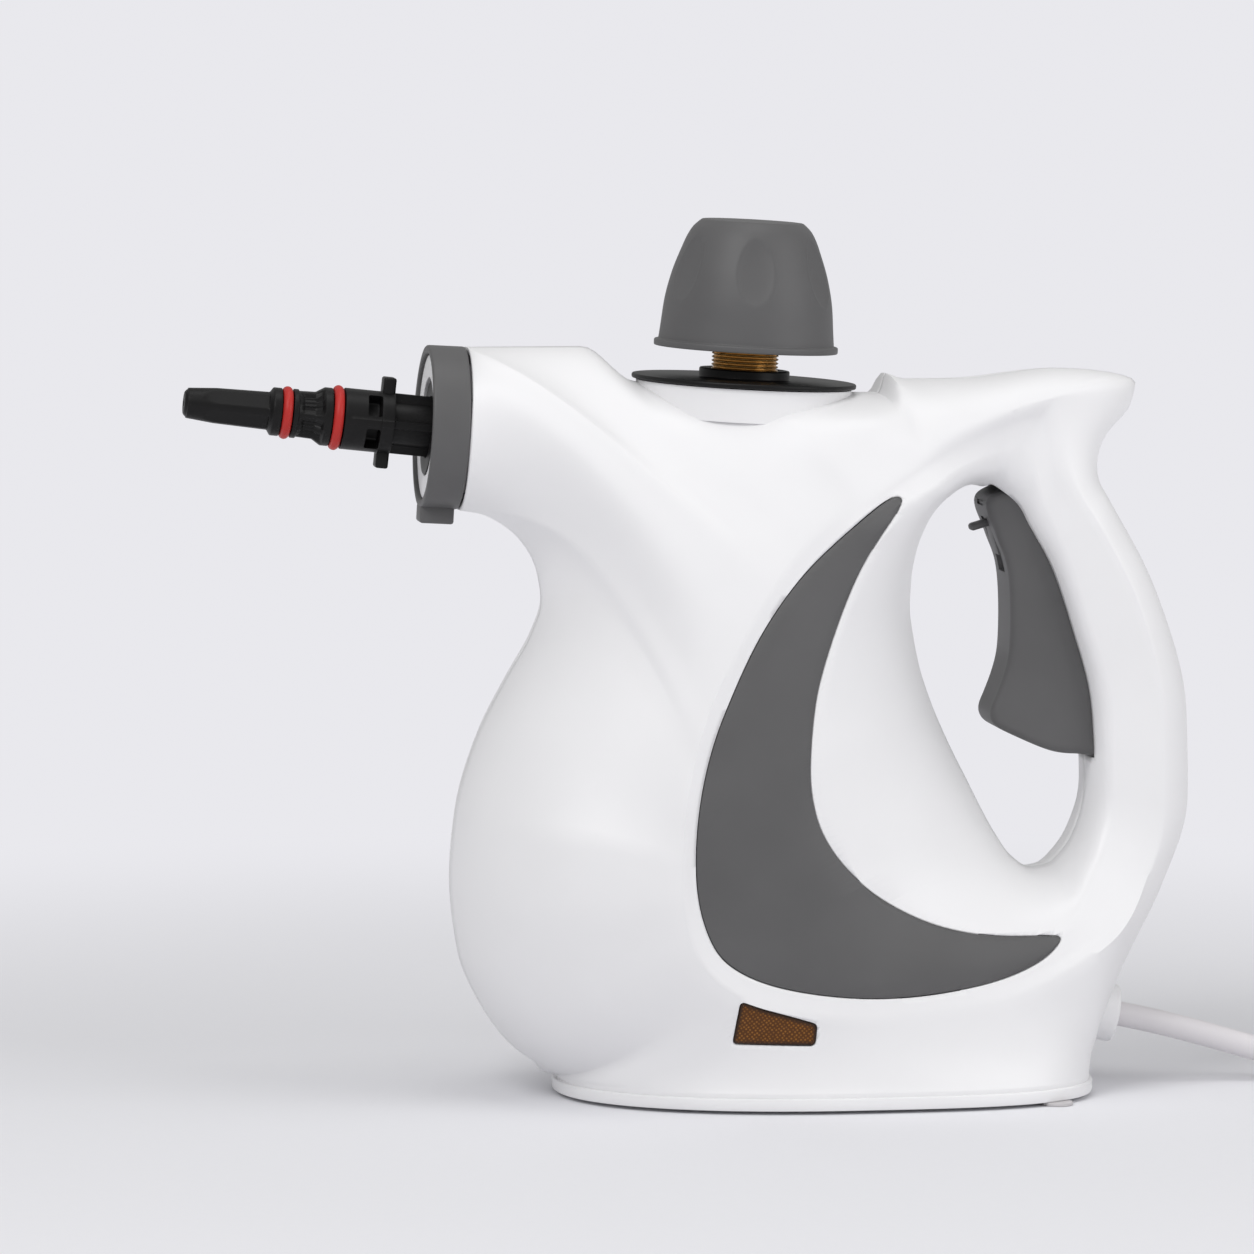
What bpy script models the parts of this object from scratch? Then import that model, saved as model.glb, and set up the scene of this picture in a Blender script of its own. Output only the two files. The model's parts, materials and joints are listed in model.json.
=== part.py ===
"""Hand-held steam cleaner: short jet nozzle, trigger grip, screwed safety cap, mains cord.

+X points to the grip and -X to the nozzle, +Z is up, and the side with the lamp window is at -Y.
The origin is on the table, under the middle of the cleaner. Lengths are in metres.
"""

import math

import bmesh
import bpy
from mathutils import Matrix, Vector
from mathutils.bvhtree import BVHTree

# Body: side-view outlines are shares of its length and height, widths are shares of its half width
BELLY_FRONT_X = -0.0642
BODY_LENGTH = 0.1991
BODY_HEIGHT = 0.1970
BODY_HALF_WIDTH = 0.0560
WALL = 0.0024
CLEARANCE = 0.0003
OVERRUN = 0.0020

# Foot of the body
BASE_HALF_WIDTH = 0.0500
BASE_THICKNESS = 0.0030
BASE_LIP = 0.0008
FOOT_HEIGHT = 0.0010
SKIRT_HEIGHT = 0.0024
FOOT_RADIUS = 0.0055
BASE_FRONT_SHARE = 0.144
BASE_REAR_SHARE = 0.854
BASE_MIDDLE_SHARE = 0.504
BASE_FRONT_ROUNDNESS = 2.2
BASE_REAR_ROUNDNESS = 3.2
FOOT_PLACE_SHARES = ((0.36, 0.66), (0.785, 0.72))

# Barrel and what closes its front; depths run back from the ring's front face
BARREL_RADIUS = 0.0215
BARREL_TILT = math.radians(3.2)
NOZZLE_TILT = math.radians(6.2)
RING_CENTRE_SHARE = (-0.034, 0.892)
RING_LENGTH = 0.0100
RING_THICKNESS = 0.0021
RING_ROUNDING = 0.0008
TAB_LENGTH = 0.0090
TAB_WIDTH = 0.0090
TAB_DROP = 0.0038
FACE_DEPTH = 0.0010
FACE_THICKNESS = 0.0020
FACE_BORE_RADIUS = 0.0129
FACE_SPIGOT = 0.0050
FACE_SPIGOT_PLAY = 0.0020
SOCKET_LENGTH = 0.0120
SOCKET_FLANGE = 0.0017
SOCKET_PLAY = 0.0008
SOCKET_FLANGE_THICKNESS = 0.0020

# Nozzle
NOZZLE_REACH = 0.0636
NOZZLE_TAIL = 0.0060
NOZZLE_RADIUS = 0.0081
NOZZLE_BORE_RADIUS = 0.0034
JET_RADIUS = 0.0009
LUG_SPAN = 0.0240
LUG_WIDTH = 0.0062
O_RING_RADIUS = 0.00135
O_RING_PROUD = 0.0005
WINDOW_WIDTH = 0.0050
STEAM_PIPE_RADIUS = 0.0030
STEAM_PIPE_WALL = 0.0008

# Filler: heights run along its tilted axis from the underside of the funnel's disc
FILLER_SHARE = (0.396, 0.946)
FILLER_TILT = math.radians(3.2)
FUNNEL_RADIUS = 0.0298
FUNNEL_THICKNESS = 0.0013
COLLAR_RADIUS = 0.0120
COLLAR_HEIGHT = 0.0025
FUNNEL_SPIGOT = 0.0027
DECK_RADIUS = 0.0286
DECK_SKIRT = 0.0090

# Cap
CAP_RADIUS = 0.0244
CAP_HEIGHT = 0.0340
CAP_WALL = 0.0022
CAP_LIFT = 0.0077
CAP_CORE_RADIUS = 0.0115
CAP_THREAD_PITCH = 0.0015
CAP_TURNS_OPEN = 4.5
DIMPLE_COUNT = 6
DIMPLE_WIDTH = 0.0106
DIMPLE_HEIGHT = 0.0175
DIMPLE_DEPTH = 0.0012
DIMPLE_HEIGHT_SHARE = 0.56
DIMPLE_RADIUS_SHARE = 0.875
DIMPLE_LEAN = math.radians(15)
DIMPLE_TURN = math.radians(-4.5)
DIMPLE_TOOL_GROWTH = 1.45
PLUG_RADIUS = 0.0089
PLUG_BELOW = 0.0060
PLUG_IN_CAP = 0.0050
PLUG_BORE_RADIUS = 0.0042
GASKET_THICKNESS = 0.0025
RELIEF_RADIUS = 0.0036
RELIEF_LENGTH = 0.0060
RELIEF_TRAVEL = 0.0015

# Boiler, on the filler's axis
NECK_WALL = 0.0024
NECK_LENGTH = 0.0440
BOILER_RADIUS = 0.0365
BOILER_WALL = 0.0025
BOILER_COVER_HEIGHT = 0.0470
BOILER_BASE_HEIGHT = 0.0530
BOILER_FLANGE = 0.0050
BOILER_FLANGE_THICKNESS = 0.0030
BOILER_GASKET_THICKNESS = 0.0012
BOLT_RADIUS = 0.0015
BOLT_HEAD_RADIUS = 0.0022
BOLT_HEAD_HEIGHT = 0.0018
ELEMENT_RADIUS = 0.0200
ELEMENT_TUBE_RADIUS = 0.0033
THERMOSTAT_RADIUS = 0.0080
THERMOSTAT_HEIGHT = 0.0070
FUSE_RADIUS = 0.0020
FUSE_LENGTH = 0.0120
POST_RADIUS = 0.0035
POST_CIRCLE_RADIUS = 0.0281

# Steam valve, on the barrel's axis
VALVE_DEPTH = 0.0240
VALVE_LENGTH = 0.0220
VALVE_RADIUS = 0.0080
VALVE_CHAMBER_RADIUS = 0.0046
VALVE_END_WALL = 0.0040
STEM_RADIUS = 0.0022
STEM_HEAD_RADIUS = 0.0036
STEM_HEAD_LENGTH = 0.0040
STEM_TAIL = 0.0037
VALVE_STROKE = 0.0012
SPRING_WIRE_RADIUS = 0.0004
SPRING_POINTS_PER_TURN = 8
INLET_PIPE_RADIUS = 0.0020
INLET_SHARE = 0.80
INLET_PLACE_SHARE = 0.62
ROD_RADIUS = 0.0015
ROD_SIDESTEP = 0.0165

# Trigger
PIVOT_SHARE = (0.762, 0.827)
TRIGGER_HALF_WIDTH = 0.0107
TRIGGER_WALL = 0.0020
TRIGGER_BOSS_RADIUS = 0.0055
TRIGGER_BOSS_HALF_WIDTH = 0.0045
TRIGGER_ARM = 0.0100
TRIGGER_ARM_HALF_WIDTH = 0.0030
PIN_RADIUS = 0.0020
PIN_HALF_LENGTH = 0.0145
PIN_BOSS_RADIUS = 0.0045
PIN_BOSS_REACH = 0.0110
LOCK_LENGTH = 0.0150
LOCK_WIDTH = 0.0080
LOCK_THICKNESS = 0.0014
LOCK_TRAVEL = 0.0044
LOCK_PEG_LENGTH = 0.0050
LOCK_PEG_THICKNESS = 0.0020
LOCK_PEG_RISE = 0.0015
LOCK_PROUD = 0.0006
LOCK_PLACE_SHARE = 0.52
TRIGGER_SPRING_LEG = 0.0035

# Screws that join the housing halves
SCREW_RADIUS = 0.0014
SCREW_HEAD_RADIUS = 0.0030
SCREW_HEAD_HEIGHT = 0.0020
SCREW_HEAD_SEAT = 0.0080
SCREW_REACH = 0.0100
SCREW_BOSS_RADIUS = 0.0050
SCREW_PLACE_SHARES = (
    (0.09, 0.178), (0.802, 0.178), (0.927, 0.284), (0.802, 0.902), (0.095, 0.792), (0.633, 0.909),
)

# Mains entry and cord; the route's points are chosen by hand, from the terminals to the coil
CORD_EXIT_SHARE = (0.8705, 0.0888)
CORD_SLOPE = math.radians(11.4)
BUSH_RADIUS = 0.00775
BUSH_PROUD = 0.0065
BUSH_LENGTH = 0.0135
CORD_RADIUS = 0.0033
CORD_ROUTE = (
    (0.0825, 0, 0.0240), (0.0880, 0, 0.0238), (0.0935, 0, 0.0231), (0.0990, 0, 0.0221),
    (0.1045, 0, 0.0210), (0.1095, 0, 0.0200), (0.1145, 0, 0.0190), (0.1200, 0, 0.0178),
    (0.1265, 0, 0.0163), (0.1330, 0, 0.0146), (0.1398, 0, 0.0127), (0.1474, -0.0006, 0.0105),
    (0.1551, -0.0025, 0.0084),
    (0.1623, -0.0055, 0.0066), (0.1690, -0.0096, 0.0053), (0.1750, -0.0146, 0.0044),
    (0.1802, -0.0198, 0.0038), (0.1853, -0.0249, 0.0036),
)
COIL_CENTRE = (0.2240, 0.0040)
COIL_LAYERS = 4
COIL_TURNS_PER_LAYER = 3
COIL_MEAN_RADIUS = 0.0370
COIL_SPARE = 0.0006
COIL_POINTS_PER_TURN = 16
COIL_START = math.radians(-135)
COIL_LAST_TURN = 0.25
COIL_TAIL = 0.0300
CLAMP_LENGTH = 0.0120
CLAMP_WIDTH = 0.0140
CLAMP_WALL = 0.0030
TERMINAL_LENGTH = 0.0180
TERMINAL_WIDTH = 0.0140
LAMP_RADIUS = 0.0020
LAMP_LENGTH = 0.0120
LAMP_PLACE_SHARE = (0.392, 0.110, 0.735)
LAMP_STAND_WIDTH = 0.0030
PLUG_BODY_RADIUS = 0.0185
PLUG_BODY_LENGTH = 0.0300
PLUG_TAIL_RADIUS = 0.0065
PLUG_TAIL_LENGTH = 0.0220
PLUG_PIN_RADIUS = 0.0024
PLUG_PIN_LENGTH = 0.0190
PLUG_PIN_SPACING = 0.0190

# The dial of stations that runs once round the hand opening
DIAL = 24
LONGEST_STEP = 0.0175
SAG_SHARE = 1 / 3
SHARPEST_TURN = 0.3
BARREL_FACETS = 8
INNER_SKIN_SHARE = 0.75
INNER_STEPS = 4
OUTER_STEPS = 4
CREASE_STATIONS = (
    0, 1, 1.5, 2, 3, 3.5, 3.8, 4, 5.5, 5.8, 6.2, 6.6, 7, 10, 11.4, 14, 15.9, 19.1, 21.3, 23.5,
)
BARREL_STATIONS = (7, 10)
BASE_STATIONS = (15.9, 19.1)

# Side silhouette: station, x share, z share
SILHOUETTE_SHARES = (
    (0, 0.870, 0.836), (0.5, 0.882, 0.873), (1, 0.918, 0.907), (1.5, 0.927, 0.942), (2, 0.894, 0.956),
    (2.5, 0.812, 0.963), (3, 0.689, 0.950), (3.5, 0.614, 0.950), (3.8, 0.587, 0.958), (4, 0.577, 0.931),
    (4.5, 0.503, 0.934), (5, 0.394, 0.939), (5.5, 0.284, 0.944), (5.8, 0.242, 0.952),
    (6.2, 0.177, 0.998), (6.6, 0.100, 0.998),
    (10.4, 0.042, 0.774), (10.8, 0.089, 0.745), (11.2, 0.117, 0.698), (11.6, 0.123, 0.655),
    (12, 0.109, 0.610), (12.5, 0.075, 0.550), (13, 0.035, 0.470), (13.5, 0.008, 0.376),
    (14, 0.000, 0.282), (14.5, 0.010, 0.188), (15, 0.041, 0.112), (15.5, 0.095, 0.045),
    (19.5, 0.868, 0.055), (19.8, 0.903, 0.137), (20.4, 0.959, 0.259), (21, 0.998, 0.382),
    (21.6, 0.995, 0.506), (22.3, 0.951, 0.666), (23, 0.890, 0.783), (23.5, 0.873, 0.815),
)

# Shoulder, halfway from the belt to the silhouette: station, x share, z share, half-width share
SHOULDER_SHARES = (
    (0, 0.853, 0.823, 0.259), (0.5, 0.855, 0.862, 0.241), (1, 0.867, 0.902, 0.236),
    (1.5, 0.867, 0.935, 0.236), (2, 0.847, 0.947, 0.241), (2.5, 0.787, 0.947, 0.268),
    (3, 0.693, 0.934, 0.330), (3.5, 0.625, 0.924, 0.402), (3.8, 0.595, 0.926, 0.402),
    (4, 0.580, 0.908, 0.500), (4.5, 0.518, 0.893, 0.598), (5, 0.443, 0.888, 0.598),
    (5.5, 0.354, 0.878, 0.562), (5.8, 0.314, 0.876, 0.536), (6.2, 0.269, 0.868, 0.518),
    (6.6, 0.219, 0.878, 0.473), (7, 0.169, 0.904, 0.421), (7.5, 0.159, 0.888, 0.425),
    (8, 0.159, 0.863, 0.420), (8.5, 0.162, 0.832, 0.398), (9, 0.167, 0.797, 0.375),
    (9.5, 0.172, 0.761, 0.362), (10, 0.177, 0.731, 0.379), (10.4, 0.182, 0.711, 0.407),
    (10.8, 0.189, 0.688, 0.452), (11.2, 0.197, 0.662, 0.500), (11.6, 0.201, 0.637, 0.545),
    (12, 0.197, 0.604, 0.607), (12.5, 0.182, 0.551, 0.684), (13, 0.154, 0.472, 0.777),
    (13.5, 0.135, 0.378, 0.830), (14, 0.130, 0.289, 0.839), (14.5, 0.140, 0.206, 0.816),
    (15, 0.164, 0.137, 0.759), (15.5, 0.202, 0.094, 0.700), (15.9, 0.226, 0.080, 0.690),
    (16.5, 0.285, 0.070, 0.780), (17.5, 0.508, 0.063, 0.857), (18.4, 0.762, 0.071, 0.705),
    (19.1, 0.842, 0.091, 0.509), (19.5, 0.858, 0.122, 0.464), (19.8, 0.885, 0.173, 0.393),
    (20.4, 0.944, 0.264, 0.295), (21, 0.976, 0.373, 0.277), (21.6, 0.974, 0.500, 0.277),
    (22.3, 0.936, 0.653, 0.286), (23, 0.879, 0.766, 0.286),
)

# Belt, the crease that bounds the scoop round the hand opening, and along the grip's ridge
BELT_SHARES = (
    (0, 0.827, 0.807, 0.343), (0.5, 0.812, 0.848, 0.325), (1, 0.809, 0.894, 0.304),
    (1.5, 0.802, 0.927, 0.312), (2, 0.787, 0.925, 0.327), (2.5, 0.752, 0.918, 0.366),
    (3, 0.693, 0.902, 0.429), (3.5, 0.633, 0.880, 0.509), (4, 0.593, 0.859, 0.562),
    (5, 0.503, 0.806, 0.705), (6, 0.433, 0.750, 0.786), (7, 0.381, 0.685, 0.839),
    (8.5, 0.334, 0.604, 0.888), (10, 0.299, 0.531, 0.916), (11.6, 0.277, 0.460, 0.943),
    (13, 0.263, 0.386, 0.968), (14, 0.259, 0.294, 0.970), (15, 0.271, 0.220, 0.955),
    (15.9, 0.304, 0.170, 0.934), (16.5, 0.364, 0.134, 0.911), (17.5, 0.516, 0.111, 0.857),
    (18.4, 0.697, 0.129, 0.759), (19.1, 0.812, 0.173, 0.643), (19.8, 0.882, 0.221, 0.527),
    (20.4, 0.919, 0.274, 0.411), (21, 0.947, 0.365, 0.348), (21.6, 0.947, 0.492, 0.348),
    (22.3, 0.916, 0.638, 0.357), (23, 0.864, 0.746, 0.357),
)

# Inner side of the belt's chamfer, where the scoop starts
SCOOP_SHARES = (
    (0, 0.800, 0.779, 0.334), (0.5, 0.785, 0.820, 0.350), (1, 0.777, 0.865, 0.339),
    (1.5, 0.762, 0.882, 0.348), (2, 0.742, 0.877, 0.371), (2.5, 0.721, 0.871, 0.393),
    (3, 0.678, 0.857, 0.464), (3.5, 0.638, 0.841, 0.536), (4, 0.604, 0.820, 0.607),
    (5, 0.528, 0.787, 0.705), (6, 0.453, 0.730, 0.775), (7, 0.402, 0.673, 0.821),
    (8.5, 0.355, 0.604, 0.864), (10, 0.321, 0.529, 0.893), (11.6, 0.298, 0.463, 0.916),
    (13, 0.283, 0.388, 0.938), (14, 0.278, 0.305, 0.941), (15, 0.290, 0.244, 0.932),
    (15.9, 0.316, 0.199, 0.914), (16.5, 0.369, 0.165, 0.893), (17.5, 0.516, 0.140, 0.845),
    (18.4, 0.683, 0.154, 0.746), (19.1, 0.777, 0.188, 0.643), (19.8, 0.827, 0.234, 0.536),
    (20.4, 0.864, 0.287, 0.420), (21, 0.887, 0.381, 0.330), (21.6, 0.885, 0.508, 0.330),
    (22.3, 0.855, 0.617, 0.334), (23, 0.827, 0.711, 0.334),
)

# Edge of the hand opening: station, x share, z share
OPENING_SHARES = (
    (0, 0.777, 0.736), (1, 0.759, 0.764), (2, 0.732, 0.792), (2.5, 0.715, 0.804), (3, 0.695, 0.807),
    (4, 0.660, 0.793), (5, 0.638, 0.764), (6, 0.625, 0.726), (7, 0.619, 0.685), (8.5, 0.619, 0.645),
    (10, 0.624, 0.607), (11.6, 0.634, 0.561), (13, 0.650, 0.512), (14, 0.675, 0.454),
    (15, 0.699, 0.406), (15.9, 0.720, 0.364), (16.5, 0.736, 0.335), (17.5, 0.760, 0.301),
    (18.4, 0.785, 0.286), (19.1, 0.807, 0.289), (19.8, 0.830, 0.309), (20.4, 0.847, 0.339),
    (21, 0.860, 0.401), (21.6, 0.854, 0.508), (22.3, 0.827, 0.617), (23, 0.800, 0.695),
)

# How square the turn into the hand opening is: 2 is an ellipse
OPENING_FULLNESS = ((0, 2.6), (5, 2.2), (8.5, 2.0), (15, 2.0), (18.4, 2.2), (20.4, 2.6), (22.3, 2.6))

# Crescent panel, from its upper tip down the belt side and back up the inner side
CRESCENT_SHARES = (
    (0.564, 0.806), (0.536, 0.794), (0.480, 0.752), (0.423, 0.700), (0.368, 0.626), (0.327, 0.543),
    (0.303, 0.484), (0.286, 0.418), (0.279, 0.358), (0.279, 0.305), (0.286, 0.259), (0.303, 0.215),
    (0.327, 0.188), (0.368, 0.166), (0.422, 0.151), (0.491, 0.141), (0.560, 0.139), (0.630, 0.145),
    (0.701, 0.158), (0.758, 0.180), (0.786, 0.205), (0.777, 0.215), (0.703, 0.216), (0.632, 0.228),
    (0.576, 0.249), (0.521, 0.282), (0.477, 0.326), (0.450, 0.371), (0.439, 0.418), (0.438, 0.458),
    (0.443, 0.510), (0.453, 0.564), (0.481, 0.643), (0.509, 0.706), (0.538, 0.751), (0.571, 0.795),
)
LAMP_SHARES = (
    (0.339, 0.143), (0.333, 0.081), (0.443, 0.078), (0.445, 0.109), (0.413, 0.119), (0.372, 0.131),
)
TRIGGER_FRONT_SHARES = (
    (0.718, 0.792), (0.729, 0.742), (0.744, 0.701), (0.749, 0.650), (0.748, 0.586), (0.741, 0.552),
    (0.730, 0.522), (0.723, 0.505), (0.723, 0.493), (0.729, 0.483), (0.744, 0.474), (0.790, 0.453),
    (0.816, 0.445), (0.843, 0.443), (0.876, 0.445),
)
TRIGGER_REAR_SHARES = (
    (0.878, 0.520), (0.866, 0.590), (0.846, 0.660), (0.820, 0.720), (0.796, 0.765), (0.790, 0.810),
)
TRIGGER_SLOT_SHARES = (
    (0.700, 0.775), (0.720, 0.812), (0.750, 0.818), (0.812, 0.800), (0.880, 0.660), (0.910, 0.500),
    (0.900, 0.438), (0.830, 0.437), (0.760, 0.600),
)

# Profiles: height share of the cap, radius share of the cap
CAP_PROFILE_SHARES = (
    (1.000, 0.00), (1.000, 0.52), (0.985, 0.575), (0.93, 0.65), (0.74, 0.77), (0.55, 0.857),
    (0.35, 0.914), (0.16, 0.940), (0.055, 0.955), (0.050, 1.00), (0.000, 1.00),
)
# Nozzle: reach share, radius share
NOZZLE_TIP_SHARES = ((1.000, 0.37), (0.988, 0.46), (0.870, 0.55), (0.655, 0.62))
NOZZLE_COLLAR_SHARES = ((0.631, 0.785), (0.585, 0.785))
NOZZLE_NECK_SHARES = (
    (0.537, 0.80), (0.516, 0.80), (0.514, 0.75), (0.445, 0.77), (0.408, 0.95), (0.376, 0.95),
)
NOZZLE_BODY_SHARES = ((0.326, 1.00), (0.173, 1.00), (0.172, 1.17), (0.119, 1.17), (0.118, 0.985))
WINDOW_REACH_SHARES = (0.180, 0.232)


def smooth(knots, values, at):
    """Value at a place on the curve through the values that never swings past them."""
    last = len(knots) - 1
    steps = [knots[i + 1] - knots[i] for i in range(last)]
    rises = [(values[i + 1] - values[i]) / steps[i] for i in range(last)]
    left = next(i for i in range(last) if at <= knots[i + 1] or i == last - 1)

    def end_slope(near_step, far_step, near_rise, far_rise):
        slope = ((2 * near_step + far_step) * near_rise - near_step * far_rise) / (near_step + far_step)
        if slope * near_rise <= 0:
            return 0.0
        if near_rise * far_rise <= 0 and abs(slope) > 3 * abs(near_rise):
            return 3 * near_rise
        return slope

    def slope(i):
        if i == 0:
            return end_slope(steps[0], steps[1], rises[0], rises[1])
        if i == last:
            return end_slope(steps[-1], steps[-2], rises[-1], rises[-2])
        if rises[i - 1] * rises[i] <= 0:
            return 0.0
        before, after = 2 * steps[i] + steps[i - 1], steps[i] + 2 * steps[i - 1]
        return (before + after) / (before / rises[i - 1] + after / rises[i])

    part = (at - knots[left]) / steps[left]
    start, end = values[left], values[left + 1]
    pull_start, pull_end = slope(left) * steps[left], slope(left + 1) * steps[left]
    return (
        start * (1 + 2 * part) * (1 - part) ** 2
        + pull_start * part * (1 - part) ** 2
        + end * part**2 * (3 - 2 * part)
        - pull_end * part**2 * (1 - part)
    )


def read_dial(rows, station):
    """Every column of a table of stations, read on a smooth closed curve round the dial."""
    wrapped = [(row[0] + lap * DIAL, *row[1:]) for lap in (-1, 0, 1) for row in rows]
    knots = [row[0] for row in wrapped]
    return [smooth(knots, [row[i] for row in wrapped], station) for i in range(1, len(rows[0]))]


def body_x(share):
    """World x of a share of the body's length, from the belly to the handle."""
    return BELLY_FRONT_X + share * BODY_LENGTH


def body_z(share):
    """World z of a share of the body's height, above the skirt round its foot."""
    return SKIRT_HEIGHT + share * BODY_HEIGHT


def in_body(x_share, z_share, width_share=0.0):
    """World place of a point given as shares of the body."""
    return Vector((body_x(x_share), width_share * BODY_HALF_WIDTH, body_z(z_share)))


BARREL_AXIS = Vector((-math.cos(BARREL_TILT), 0, math.sin(BARREL_TILT)))
BARREL_UP = Vector((math.sin(BARREL_TILT), 0, math.cos(BARREL_TILT)))
NOZZLE_AXIS = Vector((-math.cos(NOZZLE_TILT), 0, math.sin(NOZZLE_TILT)))
NOZZLE_UP = Vector((math.sin(NOZZLE_TILT), 0, math.cos(NOZZLE_TILT)))
RING_CENTRE = in_body(*RING_CENTRE_SHARE)
BARREL_END = RING_CENTRE - BARREL_AXIS * (RING_LENGTH + CLEARANCE)
BASE_TOP = FOOT_HEIGHT + BASE_THICKNESS
BODY_BOTTOM = BASE_TOP + CLEARANCE


def base_point(turn, outset=0.0):
    """Point on the outline of the foot: turn runs from 0 at the front tip to 1 at the rear."""
    angle = math.pi * turn
    front, middle, rear = map(body_x, (BASE_FRONT_SHARE, BASE_MIDDLE_SHARE, BASE_REAR_SHARE))
    length, roundness = (
        (middle - front, BASE_FRONT_ROUNDNESS) if turn < 0.5 else (rear - middle, BASE_REAR_ROUNDNESS)
    )
    across = abs(math.cos(angle)) ** (2 / roundness) * (length + outset)
    return (
        middle - math.copysign(across, math.cos(angle)),
        math.sin(angle) ** (2 / roundness) * (BASE_HALF_WIDTH + outset) if 0 < turn < 1 else 0.0,
    )


def silhouette(station):
    """Outer end of a station's line: on the mid-plane, or on the rim of the barrel or of the foot."""
    first, last = BARREL_STATIONS
    if first <= station <= last:
        angle = math.pi * (station - first) / (last - first)
        point = BARREL_END + BARREL_UP * (BARREL_RADIUS * math.cos(angle))
        return Vector((point.x, BARREL_RADIUS * abs(math.sin(angle)), point.z))
    first, last = BASE_STATIONS
    if first <= station <= last:
        x, y = base_point((station - first) / (last - first))
        return Vector((x, y, BODY_BOTTOM + SKIRT_HEIGHT))
    corners = [(end, *silhouette(end).xz) for end in (*BARREL_STATIONS, *BASE_STATIONS)]
    rows = [(row[0], body_x(row[1]), body_z(row[2])) for row in SILHOUETTE_SHARES]
    x, z = read_dial(sorted(rows + corners), station)
    return Vector((x, 0, z))


def section(station, inner_steps, outer_steps):
    """Points of one line across the side of the body, from the hand opening to the silhouette."""
    opening = in_body(*read_dial(OPENING_SHARES, station))
    scoop = in_body(*read_dial(SCOOP_SHARES, station))
    belt = in_body(*read_dial(BELT_SHARES, station))
    shoulder = in_body(*read_dial(SHOULDER_SHARES, station))
    outer = silhouette(station)
    (fullness,) = read_dial(OPENING_FULLNESS, station)
    points = [Vector((opening.x, 0, opening.z))]
    for i in range(1, inner_steps + 1):
        angle = math.pi / 2 * i / inner_steps
        across = 1 - max(math.cos(angle), 0) ** (2 / fullness)
        flat = opening.lerp(scoop, across)
        points.append(Vector((flat.x, scoop.y * math.sin(angle) ** (2 / fullness), flat.z)))
    points.append(belt)
    pull = 2 * shoulder - (belt + outer) / 2
    squares = (belt.y**2, shoulder.y**2, outer.y**2)
    for i in range(1, outer_steps + 1):
        part = math.sin(math.pi / 2 * i / outer_steps)
        flat = belt * (1 - part) ** 2 + pull * (2 * part * (1 - part)) + outer * part**2
        square = max(smooth((0, 0.5, 1), squares, part), 0)
        points.append(Vector((flat.x, math.sqrt(square), flat.z)))
    points[-1] = outer
    return points


def body_stations():
    """Stations of the rows of lines round the hand opening."""
    first, last = BARREL_STATIONS
    rim = [first + (last - first) * i / BARREL_FACETS for i in range(1, BARREL_FACETS)]
    rows = sorted(rim + list(CREASE_STATIONS))
    for here, following in zip(rows, rows[1:] + [rows[0] + DIAL]):
        middle = silhouette((here + following) / 2 % DIAL)
        length = (silhouette(here) - middle).length + (silhouette(following % DIAL) - middle).length
        steps = math.ceil(length / LONGEST_STEP)
        rows += [(here + (following - here) * i / steps) % DIAL for i in range(1, steps)]
    return sorted(rows)


MODEL = bpy.data.collections.new("steam_cleaner")
CUTTERS = bpy.data.collections.new("cutters")


def start_scene():
    """Empties the scene and makes the collections for the parts and for their cutters."""
    for obj in list(bpy.data.objects):
        bpy.data.objects.remove(obj, do_unlink=True)
    for made in (MODEL, CUTTERS):
        bpy.context.scene.collection.children.link(made)


def material(name, colour, roughness, metallic=0.0):
    """Principled material of one colour, roughness and metal share."""
    made = bpy.data.materials.new(name)
    made.use_nodes = True
    shader = made.node_tree.nodes["Principled BSDF"]
    shader.inputs["Base Color"].default_value = (*colour, 1)
    shader.inputs["Roughness"].default_value = roughness
    shader.inputs["Metallic"].default_value = metallic
    made.diffuse_color = (*colour, 1)
    return made


WHITE = material("white_abs", (0.86, 0.86, 0.87), 0.30)
GREY = material("dark_grey_abs", (0.115, 0.118, 0.122), 0.45)
BLACK = material("black_nylon", (0.018, 0.018, 0.019), 0.40)
RED = material("red_silicone", (0.50, 0.030, 0.022), 0.45)
BRASS = material("brass", (0.58, 0.32, 0.085), 0.28, 1.0)
ALUMINIUM = material("cast_aluminium", (0.55, 0.55, 0.56), 0.50, 1.0)
STEEL = material("steel", (0.45, 0.45, 0.46), 0.35, 1.0)
RUBBER = material("rubber", (0.03, 0.03, 0.032), 0.80)
AMBER = material("amber_lens", (0.17, 0.065, 0.018), 0.25)
GLASS = material("lamp_glass", (0.75, 0.35, 0.12), 0.10)
CORD = material("cord_pvc", (0.82, 0.80, 0.81), 0.45)


def add(name, data, paint, parent=None, place=None):
    """New object in the collection of the parts or, without a material, of the cutters."""
    obj = bpy.data.objects.new(name, data)
    MODEL.objects.link(obj)
    obj.parent = parent
    if place is not None:
        obj.location = place
    if paint is None:
        MODEL.objects.unlink(obj)
        CUTTERS.objects.link(obj)
        obj.hide_render = True
        obj.display_type = "WIRE"
    elif obj.data:
        obj.data.materials.append(paint)
    return obj


def empty(name, place, tilt=0.0, parent=None):
    """Axis that the turned pieces hang on."""
    obj = add(name, None, GREY, parent, place)
    obj.rotation_euler = (0, tilt, 0)
    return obj


def mesh_from(bm, name):
    """Mesh of the points and faces, with its normals facing out."""
    mesh = bpy.data.meshes.new(name)
    bm.to_mesh(mesh)
    bm.free()
    return mesh


def shade(mesh, angle=math.radians(40)):
    """Smooth shading, with sharp edges kept."""
    mesh.shade_smooth()
    mesh.set_sharp_from_angle(angle=angle)


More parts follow.
